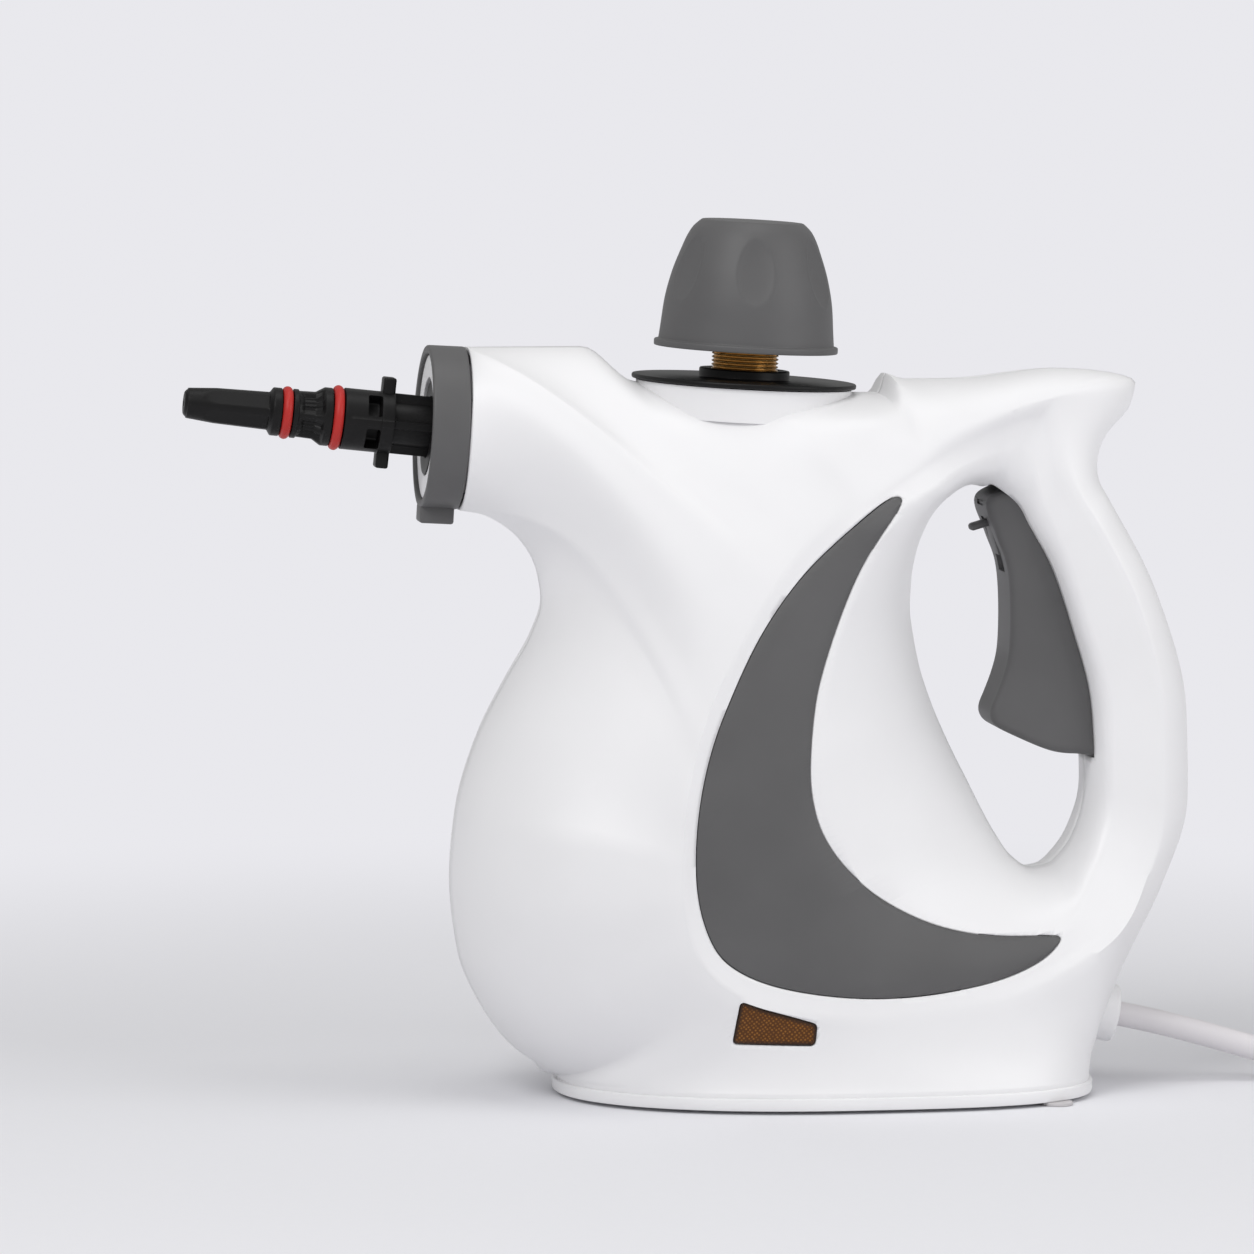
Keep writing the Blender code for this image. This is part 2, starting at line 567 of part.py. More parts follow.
def turned(name, profile, paint, parent=None, steps=24, closed=False, place=None):
    """Solid turned about its own Z axis from (radius, height) points that run down the outer side."""
    mesh = bpy.data.meshes.new(name)
    edges = [(i, i + 1) for i in range(len(profile) - 1)]
    if closed:
        edges.append((len(profile) - 1, 0))
    mesh.from_pydata([(radius, 0, height) for radius, height in profile], edges, [])
    obj = add(name, mesh, paint, parent, place)
    screw = obj.modifiers.new("turn", "SCREW")
    screw.steps = screw.render_steps = steps
    screw.use_merge_vertices = True
    screw.merge_threshold = CLEARANCE / 100
    screw.use_smooth_shade = False
    return obj


def baked(obj):
    """Replaces an object's data by the mesh that its modifiers make, in its own space."""
    bpy.context.view_layer.update()
    graph = bpy.context.evaluated_depsgraph_get()
    mesh = bpy.data.meshes.new_from_object(obj.evaluated_get(graph))
    bm = bmesh.new()
    bm.from_mesh(mesh)
    bmesh.ops.remove_doubles(bm, verts=bm.verts, dist=CLEARANCE / 100)
    bm.to_mesh(mesh)
    bm.free()
    if obj.type == "MESH":
        obj.modifiers.clear()
        obj.data = mesh
        return obj
    name, paint, parent = obj.name, obj.active_material, obj.parent
    matrix = obj.matrix_world.copy()
    hidden = obj.hide_render
    bpy.data.objects.remove(obj)
    made = add(name, mesh, None if hidden else paint, None)
    made.parent = parent
    made.matrix_world = matrix
    bpy.context.view_layer.update()
    return made


def slab(name, outline, half_width, paint, middle=0.0, parent=None):
    """Flat outline in the XZ plane, given half its width in Y each way."""
    curve = bpy.data.curves.new(name, "CURVE")
    curve.dimensions = "2D"
    curve.fill_mode = "BOTH"
    curve.extrude = half_width
    spline = curve.splines.new("POLY")
    spline.points.add(len(outline) - 1)
    for point, (x, z) in zip(spline.points, outline):
        point.co = (x, z, 0, 1)
    spline.use_cyclic_u = True
    obj = add(name, curve, paint)
    obj.location = (0, middle, 0)
    obj.rotation_euler = (math.pi / 2, 0, 0)
    made = baked(obj)
    made.data.transform(made.matrix_world)
    made.matrix_world = Matrix.Identity(4)
    if parent:
        move_origin(made, parent)
    return made


def move_origin(obj, parent):
    """Puts a mesh made in world space under an empty, with its origin there, without moving it."""
    bpy.context.view_layer.update()
    obj.data.transform(parent.matrix_world.inverted())
    obj.parent = parent


def tube(name, points, radius, paint, resolution=2, closed=False):
    """Round bar along a line of points."""
    curve = bpy.data.curves.new(name, "CURVE")
    curve.dimensions = "3D"
    curve.bevel_depth = radius
    curve.bevel_resolution = resolution
    curve.use_fill_caps = True
    spline = curve.splines.new("POLY")
    spline.points.add(len(points) - 1)
    for point, place in zip(spline.points, points):
        point.co = (*place, 1)
    spline.use_cyclic_u = closed
    return add(name, curve, paint)


def solid(name, shapes, paint, place=None, parent=None):
    """One object made of unlike primitives: each is a function that adds to the bmesh."""
    bm = bmesh.new()
    for shape in shapes:
        shape(bm)
    mesh = mesh_from(bm, name)
    return add(name, mesh, paint, parent, place)


def box(size, middle=(0, 0, 0)):
    """Shape of a box: its size and its centre."""
    def shape(bm):
        matrix = Matrix.Translation(middle) @ Matrix.Diagonal((*size, 1))
        bmesh.ops.create_cube(bm, size=1, matrix=matrix)

    return shape


def rod(radius, length, middle, turn=None, sides=16):
    """Cylinder along Z, or turned by a matrix."""

    def shape(bm):
        matrix = Matrix.Translation(middle) @ (turn or Matrix.Identity(4))
        bmesh.ops.create_cone(
            bm, cap_ends=True, segments=sides, radius1=radius, radius2=radius, depth=length,
            matrix=matrix,
        )

    return shape


ALONG_Y = Matrix.Rotation(math.pi / 2, 4, "X")
ALONG_X = Matrix.Rotation(math.pi / 2, 4, "Y")


def combine(target, tool, operation="DIFFERENCE"):
    """Boolean of one body with another, applied at once."""
    modifier = target.modifiers.new(tool.name, "BOOLEAN")
    modifier.operation = operation
    modifier.object = tool
    modifier.solver = "EXACT"
    return target


def body_skin():
    """The outer skin of both halves in one piece, open at the barrel's front and at the foot."""
    stations = body_stations()
    columns = [section(station, INNER_STEPS, OUTER_STEPS) for station in stations]
    rows = len(columns[0])
    bm = bmesh.new()
    for side in (-1, 1):
        made = [[bm.verts.new((p.x, side * p.y, p.z)) for p in column] for column in columns]
        for i in range(len(made)):
            here, following = made[i], made[(i + 1) % len(made)]
            for j in range(rows - 1):
                corners = [here[j], here[j + 1], following[j + 1], following[j]]
                bm.faces.new(corners if side < 0 else corners[::-1])
    bmesh.ops.remove_doubles(bm, verts=bm.verts, dist=CLEARANCE / 100)
    rims = ([], [])
    for edge in bm.edges:
        if edge.is_boundary:
            rims[edge.verts[0].co.z > BODY_HEIGHT / 2].append(edge)
    foot_step = Vector((0, 0, -(SKIRT_HEIGHT + OVERRUN)))
    for rim, step in zip(rims, (foot_step, BARREL_AXIS * OVERRUN)):
        grown = bmesh.ops.extrude_edge_only(bm, edges=rim)["geom"]
        bmesh.ops.translate(bm, verts=[v for v in grown if isinstance(v, bmesh.types.BMVert)], vec=step)
    bmesh.ops.recalc_face_normals(bm, faces=bm.faces)
    return mesh_from(bm, "body_skin")


def rim_tool():
    """Blocks that trim the shell's two open rims flat, at the foot and at the ring."""
    reach, deep = 2 * BODY_LENGTH, 4 * OVERRUN
    solid("foot_trim_tool", [box((reach, reach, deep), (0, 0, BODY_BOTTOM - deep / 2))], None)
    bench = -(RING_LENGTH + CLEARANCE)
    wide = 4 * BARREL_RADIUS
    solid("ring_trim_tool", [box((wide, wide, deep), (0, 0, bench + deep / 2))], None, None,
          bpy.data.objects["barrel_axis"])


def body_shell():
    """Whole shell of the body, before it is parted."""
    rim_tool()
    shell = add("body_shell", body_skin(), None)
    wall = shell.modifiers.new("wall", "SOLIDIFY")
    wall.thickness = WALL
    wall.offset = -1
    wall.use_even_offset = True
    wall.use_quality_normals = True
    wall.shell_vertex_group = shell.vertex_groups.new(name="inner_skin").name
    thin = shell.modifiers.new("coarser_inner_skin", "DECIMATE")
    thin.vertex_group = wall.shell_vertex_group
    thin.ratio = INNER_SKIN_SHARE
    combine(shell, bpy.data.objects["foot_trim_tool"])
    combine(shell, bpy.data.objects["ring_trim_tool"])
    return baked(shell)


def half_space(name, side, gap=CLEARANCE):
    """Room on one side of the mid-plane, for a half that keeps this gap to the other."""
    reach = BODY_LENGTH + BODY_HEIGHT
    middle = side * (reach + gap) / 2
    return solid(name, [box((2 * reach, reach, 2 * reach), (0, middle, 0))], None)


def filler_point(radius, height, turn=0.0):
    """World place of a point given on the filler's axis."""
    local = Vector((radius * math.cos(turn), radius * math.sin(turn), height))
    return in_body(*FILLER_SHARE) + Matrix.Rotation(FILLER_TILT, 3, "Y") @ local


def nozzle_point(depth, up=0.0, across=0.0):
    """World place behind the ring's front face, on the nozzle's axis or beside it."""
    return RING_CENTRE - NOZZLE_AXIS * depth + NOZZLE_UP * up + Vector((0, across, 0))


def outline(shares, outset=0.0):
    """World outline of a table of shares, moved out by a clearance."""
    points = [in_body(*row).xz for row in shares]
    if not outset:
        return [tuple(point) for point in points]
    area = sum(a.cross(b) for a, b in zip(points, points[1:] + points[:1]))
    moved = []
    for before, here, after in zip(points[-1:] + points[:-1], points, points[1:] + points[:1]):
        first, second = (here - before).normalized(), (after - here).normalized()
        bend = first + second
        out = Vector((bend.y, -bend.x)).normalized() * math.copysign(1, area)
        reach = outset / max(out.dot(Vector((first.y, -first.x))) * math.copysign(1, area), SHARPEST_TURN)
        moved.append(tuple(here + out * reach))
    return moved


def wall_reach(shell, x, z, radius, side):
    """Least half width of the outer skin round a boss, less a part of the wall."""
    tree = BVHTree.FromObject(shell, bpy.context.evaluated_depsgraph_get())
    reaches = []
    for i in range(8):
        angle = math.tau * i / 8
        start = Vector((x + radius * math.cos(angle), side * BODY_LENGTH, z + radius * math.sin(angle)))
        hit = tree.ray_cast(start, Vector((0, -side, 0)))[0]
        if hit:
            reaches.append(abs(hit.y))
    return min(reaches) - SAG_SHARE * WALL


def housing_half(name, side, shell):
    """One half: shell, deck for the funnel, rib for the valve, screw bosses, then every cut."""
    half = add(name, shell.data.copy(), WHITE)
    combine(half, half_space(name + "_side", side), "INTERSECT")
    room = half_space(name + "_inner_side", side, 2 * CLEARANCE)
    combine(half, bpy.data.objects["bush_hole_tool"])
    for inner in ("deck", "valve_rib"):
        whole = bpy.data.objects[inner + "_tool"]
        part = add(f"{name}_{inner}", whole.data.copy(), None, whole.parent)
        combine(part, room, "INTERSECT")
        combine(half, part, "UNION")
    combine(half, bpy.data.objects["deck_pocket_tool"])
    combine(half, bpy.data.objects["filler_hole_tool"])
    bosses, holes = [], []
    for share in SCREW_PLACE_SHARES:
        x, _, z = in_body(*share)
        reach = wall_reach(shell, x, z, SCREW_BOSS_RADIUS, side)
        length = reach - CLEARANCE
        middle = side * (reach + CLEARANCE) / 2
        bosses.append(rod(SCREW_BOSS_RADIUS, length, (x, middle, z), ALONG_Y, 10))
        pilot = SCREW_RADIUS + CLEARANCE
        if side < 0:
            length = SCREW_REACH + OVERRUN
            holes.append(rod(pilot, 2 * length, (x, 0, z), ALONG_Y, 8))
        else:
            place = Vector((x, 0, z))
            holes.append(screw_hole(place, pilot))
    pivot = in_body(*PIVOT_SHARE)
    reach = wall_reach(shell, pivot.x, pivot.z, PIN_BOSS_RADIUS, side)
    inner = PIN_BOSS_REACH
    bosses.append(
        rod(PIN_BOSS_RADIUS, reach - inner, (pivot.x, side * (reach + inner) / 2, pivot.z),
            ALONG_Y, 12)
    )
    holes.append(
        rod(PIN_RADIUS + CLEARANCE, 2 * (PIN_HALF_LENGTH + CLEARANCE), (pivot.x, 0, pivot.z),
            ALONG_Y, 12)
    )
    combine(half, solid(name + "_bosses", bosses, None), "UNION")
    combine(half, bpy.data.objects["trigger_slot_tool"])
    combine(half, bpy.data.objects["crescent_tool"])
    if side < 0:
        combine(half, bpy.data.objects["lamp_tool"])
    combine(half, solid(name + "_holes", holes, None))
    return half


def screw_hole(place, pilot):
    """Stepped hole in the right half: room for the head outside, a pilot hole inside."""
    head = SCREW_HEAD_RADIUS + CLEARANCE

    def shape(bm):
        reach = BODY_LENGTH
        points = ((0, reach), (head, reach), (head, SCREW_HEAD_SEAT), (pilot, SCREW_HEAD_SEAT))
        points += ((pilot, -OVERRUN), (0, -OVERRUN))
        sides = 10
        rings = []
        for radius, y in points[1:-1]:
            ring = []
            for i in range(sides):
                angle = math.tau * i / sides
                offset = Vector((radius * math.cos(angle), y, radius * math.sin(angle)))
                ring.append(bm.verts.new(place + offset))
            rings.append(ring)
        for here, following in zip(rings, rings[1:]):
            for i in range(sides):
                j = (i + 1) % sides
                bm.faces.new((here[i], here[j], following[j], following[i]))
        bm.faces.new(rings[0][::-1])
        bm.faces.new(rings[-1])

    return shape


def housing():
    """One half of the shell, with its bosses, holes and hollows."""
    shell = body_shell()
    deck_tool()
    valve_rib_tool()
    housing_tools()
    housing_half("left_housing", -1, shell)
    housing_half("right_housing", 1, shell)
    panel_tool = slab("panel_outline", outline(CRESCENT_SHARES, -CLEARANCE), BODY_HALF_WIDTH * 2, None)
    for name, side in (("crescent_panel_left", -1), ("crescent_panel_right", 1)):
        panel = add(name, shell.data.copy(), GREY)
        combine(panel, panel_tool, "INTERSECT")
        combine(panel, half_space(name + "_side", side), "INTERSECT")
    lens = add("lamp_lens", shell.data.copy(), AMBER)
    lens_tool = slab("lens_outline", outline(LAMP_SHARES, -CLEARANCE), BODY_HALF_WIDTH * 2, None)
    combine(lens, lens_tool, "INTERSECT")
    combine(lens, half_space("lens_side", -1), "INTERSECT")


def deck_tool():
    """Round deck under the funnel, with the skirt that meets the body's shoulders, and its hollow."""
    sides = 32
    turn = Matrix.Rotation(math.pi / sides, 4, "Z")
    top, bottom = -CLEARANCE - WALL, -CLEARANCE - DECK_SKIRT
    for name, radius, upper, lower in (
        ("deck_tool", DECK_RADIUS, -CLEARANCE, -DECK_SKIRT),
        ("deck_pocket_tool", DECK_RADIUS - WALL, top, bottom),
        ("filler_hole_tool", COLLAR_RADIUS + CLEARANCE, OVERRUN, -DECK_SKIRT / 2),
    ):
        middle = (0, 0, (upper + lower) / 2)
        solid(name, [rod(radius, upper - lower, middle, turn, sides)], None, None,
              bpy.data.objects["filler_axis"])


def valve_rib_tool():
    """Cross wall in the barrel that holds the valve."""
    outer, inner = BARREL_RADIUS + WALL / 2, VALVE_RADIUS + CLEARANCE
    front = -(VALVE_DEPTH + VALVE_LENGTH / 2)
    baked(turned(
        "valve_rib_tool",
        ((outer, front), (outer, front - WALL), (inner, front - WALL), (inner, front)),
        None, bpy.data.objects["nozzle_axis"], 16, True,
    ))


def housing_tools():
    """Cutters that both halves share."""
    slab("trigger_slot_tool", outline(TRIGGER_SLOT_SHARES), TRIGGER_HALF_WIDTH + CLEARANCE, None)
    slab("crescent_tool", outline(CRESCENT_SHARES), BODY_HALF_WIDTH * 2, None)
    slab("lamp_tool", outline(LAMP_SHARES), BODY_HALF_WIDTH * 2, None)
    solid(
        "bush_hole_tool", [rod(BUSH_RADIUS + CLEARANCE, 2 * BUSH_LENGTH, (0, 0, 0), None, 20)],
        None, None, bpy.data.objects["cord_exit"],
    )


def base_and_feet():
    """Base plate with its posts, and the four rubber feet."""
    count = 24
    turns = [i / count for i in range(count + 1)]
    near = [base_point(turn, BASE_LIP) for turn in turns]
    far = [(x, -y) for x, y in near[-2:0:-1]]
    plan = near + far
    curve = bpy.data.curves.new("base_plate", "CURVE")
    curve.dimensions = "2D"
    curve.fill_mode = "BOTH"
    curve.extrude = BASE_THICKNESS / 2
    spline = curve.splines.new("POLY")
    spline.points.add(len(plan) - 1)
    for point, (x, y) in zip(spline.points, plan):
        point.co = (x, y, 0, 1)
    spline.use_cyclic_u = True
    plate = add("base_plate", curve, WHITE, None, (0, 0, FOOT_HEIGHT + BASE_THICKNESS / 2))
    plate = baked(plate)
    posts = []
    for turn in bolt_turns():
        top = filler_point(POST_CIRCLE_RADIUS, boiler_bottom(), turn)
        height = top.z - POST_RADIUS * math.sin(FILLER_TILT) - CLEARANCE - FOOT_HEIGHT
        posts.append(rod(POST_RADIUS, height, (top.x, top.y, FOOT_HEIGHT + height / 2), None, 8))
    lamp = in_body(*LAMP_PLACE_SHARE)
    height = lamp.z - LAMP_RADIUS - CLEARANCE - FOOT_HEIGHT
    posts.append(
        box((LAMP_LENGTH / 2, LAMP_STAND_WIDTH, height), (lamp.x, -lamp.y, FOOT_HEIGHT + height / 2))
    )
    combine(plate, solid("post_tool", posts, None), "UNION")
    lamp = solid("neon_lamp", [rod(LAMP_RADIUS, LAMP_LENGTH, (0, 0, 0), ALONG_X, 10)], GLASS,
                 (lamp.x, -lamp.y, lamp.z))
    shade(lamp.data)
    for number, (x_share, width_share) in enumerate(FOOT_PLACE_SHARES):
        for side in (-1, 1):
            place = (body_x(x_share), side * width_share * BODY_HALF_WIDTH, FOOT_HEIGHT / 2)
            label = f"foot_{('front', 'rear')[number]}_{'left' if side < 0 else 'right'}"
            foot = solid(label, [rod(FOOT_RADIUS, FOOT_HEIGHT, (0, 0, 0), None, 16)], RUBBER, place)
            shade(foot.data)


def boiler_bottom():
    """Height of the boiler's underside on the filler's axis."""
    joint = -(FUNNEL_SPIGOT + CLEARANCE + NECK_LENGTH + BOILER_COVER_HEIGHT)
    return joint - BOILER_GASKET_THICKNESS - 2 * CLEARANCE - BOILER_BASE_HEIGHT


def barrel_front():
    """Ring, face and nozzle socket that close the barrel."""
    axis = bpy.data.objects["barrel_axis"]
    outer, inner = BARREL_RADIUS, BARREL_RADIUS - RING_THICKNESS
    ring = turned(
        "bezel_ring",
        ((outer - RING_ROUNDING, 0), (outer, -RING_ROUNDING), (outer, -RING_LENGTH),
         (inner, -RING_LENGTH), (inner, -RING_ROUNDING / 2), (inner + RING_ROUNDING / 2, 0)),
        GREY, axis, 28, True,
    )
    tab = solid(
        "bezel_tab_tool",
        [box((TAB_DROP + RING_THICKNESS / 2, TAB_WIDTH, TAB_LENGTH),
             (-(outer + TAB_DROP - (TAB_DROP + RING_THICKNESS / 2) / 2), 0, -TAB_LENGTH / 2))],
        None, None, axis,
    )
    combine(ring, tab, "UNION")
    face_outer = inner - CLEARANCE
    spigot = BARREL_RADIUS - WALL - FACE_SPIGOT_PLAY
    front, back = -FACE_DEPTH, -(RING_LENGTH + FACE_SPIGOT)
    turned(
        "bezel_face",
        ((face_outer, front), (face_outer, -RING_LENGTH), (spigot, -RING_LENGTH), (spigot, back),
         (spigot - FACE_THICKNESS, back), (spigot - FACE_THICKNESS, front - FACE_THICKNESS),
         (FACE_BORE_RADIUS, front - FACE_THICKNESS), (FACE_BORE_RADIUS, front)),
        WHITE, axis, 28, True,
    )
    socket = FACE_BORE_RADIUS - CLEARANCE
    seat = front - FACE_THICKNESS - SOCKET_PLAY
    flange = socket + SOCKET_FLANGE
    bore = NOZZLE_RADIUS * NOZZLE_BODY_SHARES[-1][1] + CLEARANCE
    turned(
        "nozzle_socket",
        ((socket, front - CLEARANCE), (socket, seat), (flange, seat),
         (flange, seat - SOCKET_FLANGE_THICKNESS),
         (bore + FACE_THICKNESS, seat - SOCKET_FLANGE_THICKNESS),
         (bore + FACE_THICKNESS, front - SOCKET_LENGTH), (bore, front - SOCKET_LENGTH),
         (bore, front - CLEARANCE)),
        BLACK, bpy.data.objects["nozzle_axis"], 24, True,
    )


def nozzle():
    """Steam nozzle with its lugs, windows and O-rings."""
    axis = bpy.data.objects["nozzle_axis"]

    def row(share):
        return (share[1] * NOZZLE_RADIUS, share[0] * NOZZLE_REACH)

    profile = [row(share) for share in NOZZLE_TIP_SHARES + NOZZLE_COLLAR_SHARES]
    grooves = []
    for before, after in (
        (NOZZLE_COLLAR_SHARES[-1], NOZZLE_NECK_SHARES[0]),
        (NOZZLE_NECK_SHARES[-1], NOZZLE_BODY_SHARES[0]),
    ):
        top, bottom = row(before), row(after)
        outer = max(top[0], bottom[0]) + O_RING_PROUD
        floor = outer - 2 * O_RING_RADIUS - CLEARANCE
        grooves.append((floor, top[1], bottom[1], outer))
    front, rear = grooves
    profile += [(front[0], front[1]), (front[0], front[2])]
    profile += [row(share) for share in NOZZLE_NECK_SHARES]
    profile += [(rear[0], rear[1]), (rear[0], rear[2])]
    profile += [row(share) for share in NOZZLE_BODY_SHARES]
    tail = profile[-1][0]
    profile += [(tail, -NOZZLE_TAIL), (NOZZLE_BORE_RADIUS, -NOZZLE_TAIL)]
    throat = row(NOZZLE_NECK_SHARES[2])[1]
    profile += [(NOZZLE_BORE_RADIUS, throat), (JET_RADIUS, throat + NOZZLE_BORE_RADIUS)]
    profile += [(JET_RADIUS, NOZZLE_REACH)]
    body = turned("steam_nozzle", profile, BLACK, axis, 18, True)
    flange_top, flange_bottom = row(NOZZLE_BODY_SHARES[2])[1], row(NOZZLE_BODY_SHARES[3])[1]
    length = flange_top - flange_bottom
    lug_foot = NOZZLE_RADIUS
    lug_height = LUG_SPAN / 2 - lug_foot
    lugs = [
        box((lug_height, LUG_WIDTH, length),
            (side * (lug_foot + lug_height / 2), 0, (flange_top + flange_bottom) / 2))
        for side in (-1, 1)
    ]
    combine(body, solid("nozzle_lug_tool", lugs, None, None, axis), "UNION")
    low, high = (share * NOZZLE_REACH for share in WINDOW_REACH_SHARES)
    window = [box((WINDOW_WIDTH, 4 * NOZZLE_RADIUS, high - low), (0, 0, (low + high) / 2))]
    combine(body, solid("nozzle_window_tool", window, None, None, axis))
    for name, (_, top, bottom, outer) in zip(("o_ring_front", "o_ring_rear"), grooves):
        middle, sides = outer - O_RING_RADIUS, 6
        circle = [
            (middle + O_RING_RADIUS * math.cos(math.tau * i / sides),
             (top + bottom) / 2 - O_RING_RADIUS * math.sin(math.tau * i / sides))
            for i in range(sides)
        ]
        turned(name, circle, RED, axis, 20, True)
    pipe_front = high + STEAM_PIPE_RADIUS
    pipe_rear = -(VALVE_DEPTH - CLEARANCE)
    bore = STEAM_PIPE_RADIUS - STEAM_PIPE_WALL
    turned(
        "steam_pipe",
        ((STEAM_PIPE_RADIUS, pipe_front), (STEAM_PIPE_RADIUS, pipe_rear), (bore, pipe_rear),
         (bore, pipe_front)),
        BRASS, axis, 16, True,
    )


def funnel_and_boiler():
    """Filler funnel, and the boiler under it with its gasket and bolts."""
    axis = bpy.data.objects["filler_axis"]
    bore = PLUG_RADIUS + CLEARANCE
    collar_top = FUNNEL_THICKNESS + COLLAR_HEIGHT
    turned(
        "filler_funnel",
        ((COLLAR_RADIUS, collar_top), (COLLAR_RADIUS, FUNNEL_THICKNESS),
         (FUNNEL_RADIUS, FUNNEL_THICKNESS), (FUNNEL_RADIUS, 0), (COLLAR_RADIUS, 0),
         (COLLAR_RADIUS, -FUNNEL_SPIGOT), (bore, -FUNNEL_SPIGOT), (bore, collar_top)),
        BLACK, axis, 32, True,
    )
    top = -(FUNNEL_SPIGOT + CLEARANCE)
    neck = bore + NECK_WALL
    shoulder = top - NECK_LENGTH
    joint = shoulder - BOILER_COVER_HEIGHT
    outer, inner = BOILER_RADIUS, BOILER_RADIUS - BOILER_WALL
    flange = outer + BOILER_FLANGE
    corner = 2 * BOILER_WALL
    turned(
        "boiler_cover",
        ((neck, top), (neck, shoulder), (outer - corner, shoulder), (outer, shoulder - corner),
         (outer, joint + BOILER_FLANGE_THICKNESS), (flange, joint + BOILER_FLANGE_THICKNESS),
         (flange, joint), (inner, joint), (inner, shoulder - corner - BOILER_WALL / 2),
         (inner - corner + BOILER_WALL / 2, shoulder - BOILER_WALL), (bore, shoulder - BOILER_WALL),
         (bore, top)),
        ALUMINIUM, axis, 20, True,
    )
    seal_top = joint - CLEARANCE
    seal_bottom = seal_top - BOILER_GASKET_THICKNESS
    turned(
        "boiler_gasket",
        ((outer, seal_top), (outer, seal_bottom), (inner, seal_bottom), (inner, seal_top)),
        RUBBER, axis, 20, True,
    )
    rim = seal_bottom - CLEARANCE
    floor = rim - BOILER_BASE_HEIGHT
    turned(
        "boiler_base",
        ((0, floor + BOILER_WALL), (inner - corner, floor + BOILER_WALL),
         (inner, floor + BOILER_WALL + corner), (inner, rim), (flange, rim),
         (flange, rim - BOILER_FLANGE_THICKNESS), (outer, rim - BOILER_FLANGE_THICKNESS),
         (outer, floor + corner), (outer - corner, floor), (0, floor)),
        ALUMINIUM, axis, 20,
    )
    reach = (flange + outer) / 2
    holes = [
        rod(BOLT_RADIUS + CLEARANCE, 4 * BOILER_FLANGE_THICKNESS + BOILER_FLANGE,
            (reach * math.cos(turn), reach * math.sin(turn), rim), None, 8)
        for turn in bolt_turns()
    ]
    tool = solid("bolt_hole_tool", holes, None, None, axis)
    for name in ("boiler_cover", "boiler_base"):
        combine(bpy.data.objects[name], tool)
    head_seat = joint + BOILER_FLANGE_THICKNESS + CLEARANCE
    for number, turn in enumerate(bolt_turns(), 1):
        place = (reach * math.cos(turn), reach * math.sin(turn), 0)
        bottom = rim - BOILER_FLANGE_THICKNESS
        turned(
            f"boiler_bolt_{number}",
            ((0, head_seat + BOLT_HEAD_HEIGHT), (BOLT_HEAD_RADIUS, head_seat + BOLT_HEAD_HEIGHT),
             (BOLT_HEAD_RADIUS, head_seat), (BOLT_RADIUS, head_seat), (BOLT_RADIUS, bottom),
             (0, bottom)),
            STEEL, axis, 6, False, place,
        )
    heater(axis, floor)


def bolt_turns():
    """Angles of the four bolts, and of the posts under them."""
    return [math.pi * (i + 0.5) / 2 for i in range(4)]


def heater(axis, floor):
    """Heating element, thermostat and thermal fuse against the underside and side of the boiler."""
    height = floor - CLEARANCE - ELEMENT_TUBE_RADIUS
    steps, gap = 20, math.radians(24)
    arc = [
        (ELEMENT_RADIUS * math.cos(gap + (math.tau - 2 * gap) * i / steps),
         ELEMENT_RADIUS * math.sin(gap + (math.tau - 2 * gap) * i / steps), height)
        for i in range(steps + 1)
    ]
    element = tube("heating_element", arc, ELEMENT_TUBE_RADIUS, STEEL, 1)
    element.parent = axis
    top = floor - CLEARANCE
    turned(
        "thermostat",
        ((0, top), (THERMOSTAT_RADIUS, top), (THERMOSTAT_RADIUS, top - THERMOSTAT_HEIGHT),
         (0, top - THERMOSTAT_HEIGHT)),
        STEEL, axis, 16,
    )
    side = BOILER_RADIUS + CLEARANCE + FUSE_RADIUS
    fuse_top = floor + BOILER_BASE_HEIGHT / 2
    turned(
        "thermal_fuse",
        ((0, fuse_top), (FUSE_RADIUS, fuse_top), (FUSE_RADIUS, fuse_top - FUSE_LENGTH),
         (0, fuse_top - FUSE_LENGTH)),
        STEEL, axis, 10, False, (side, 0, 0),
    )


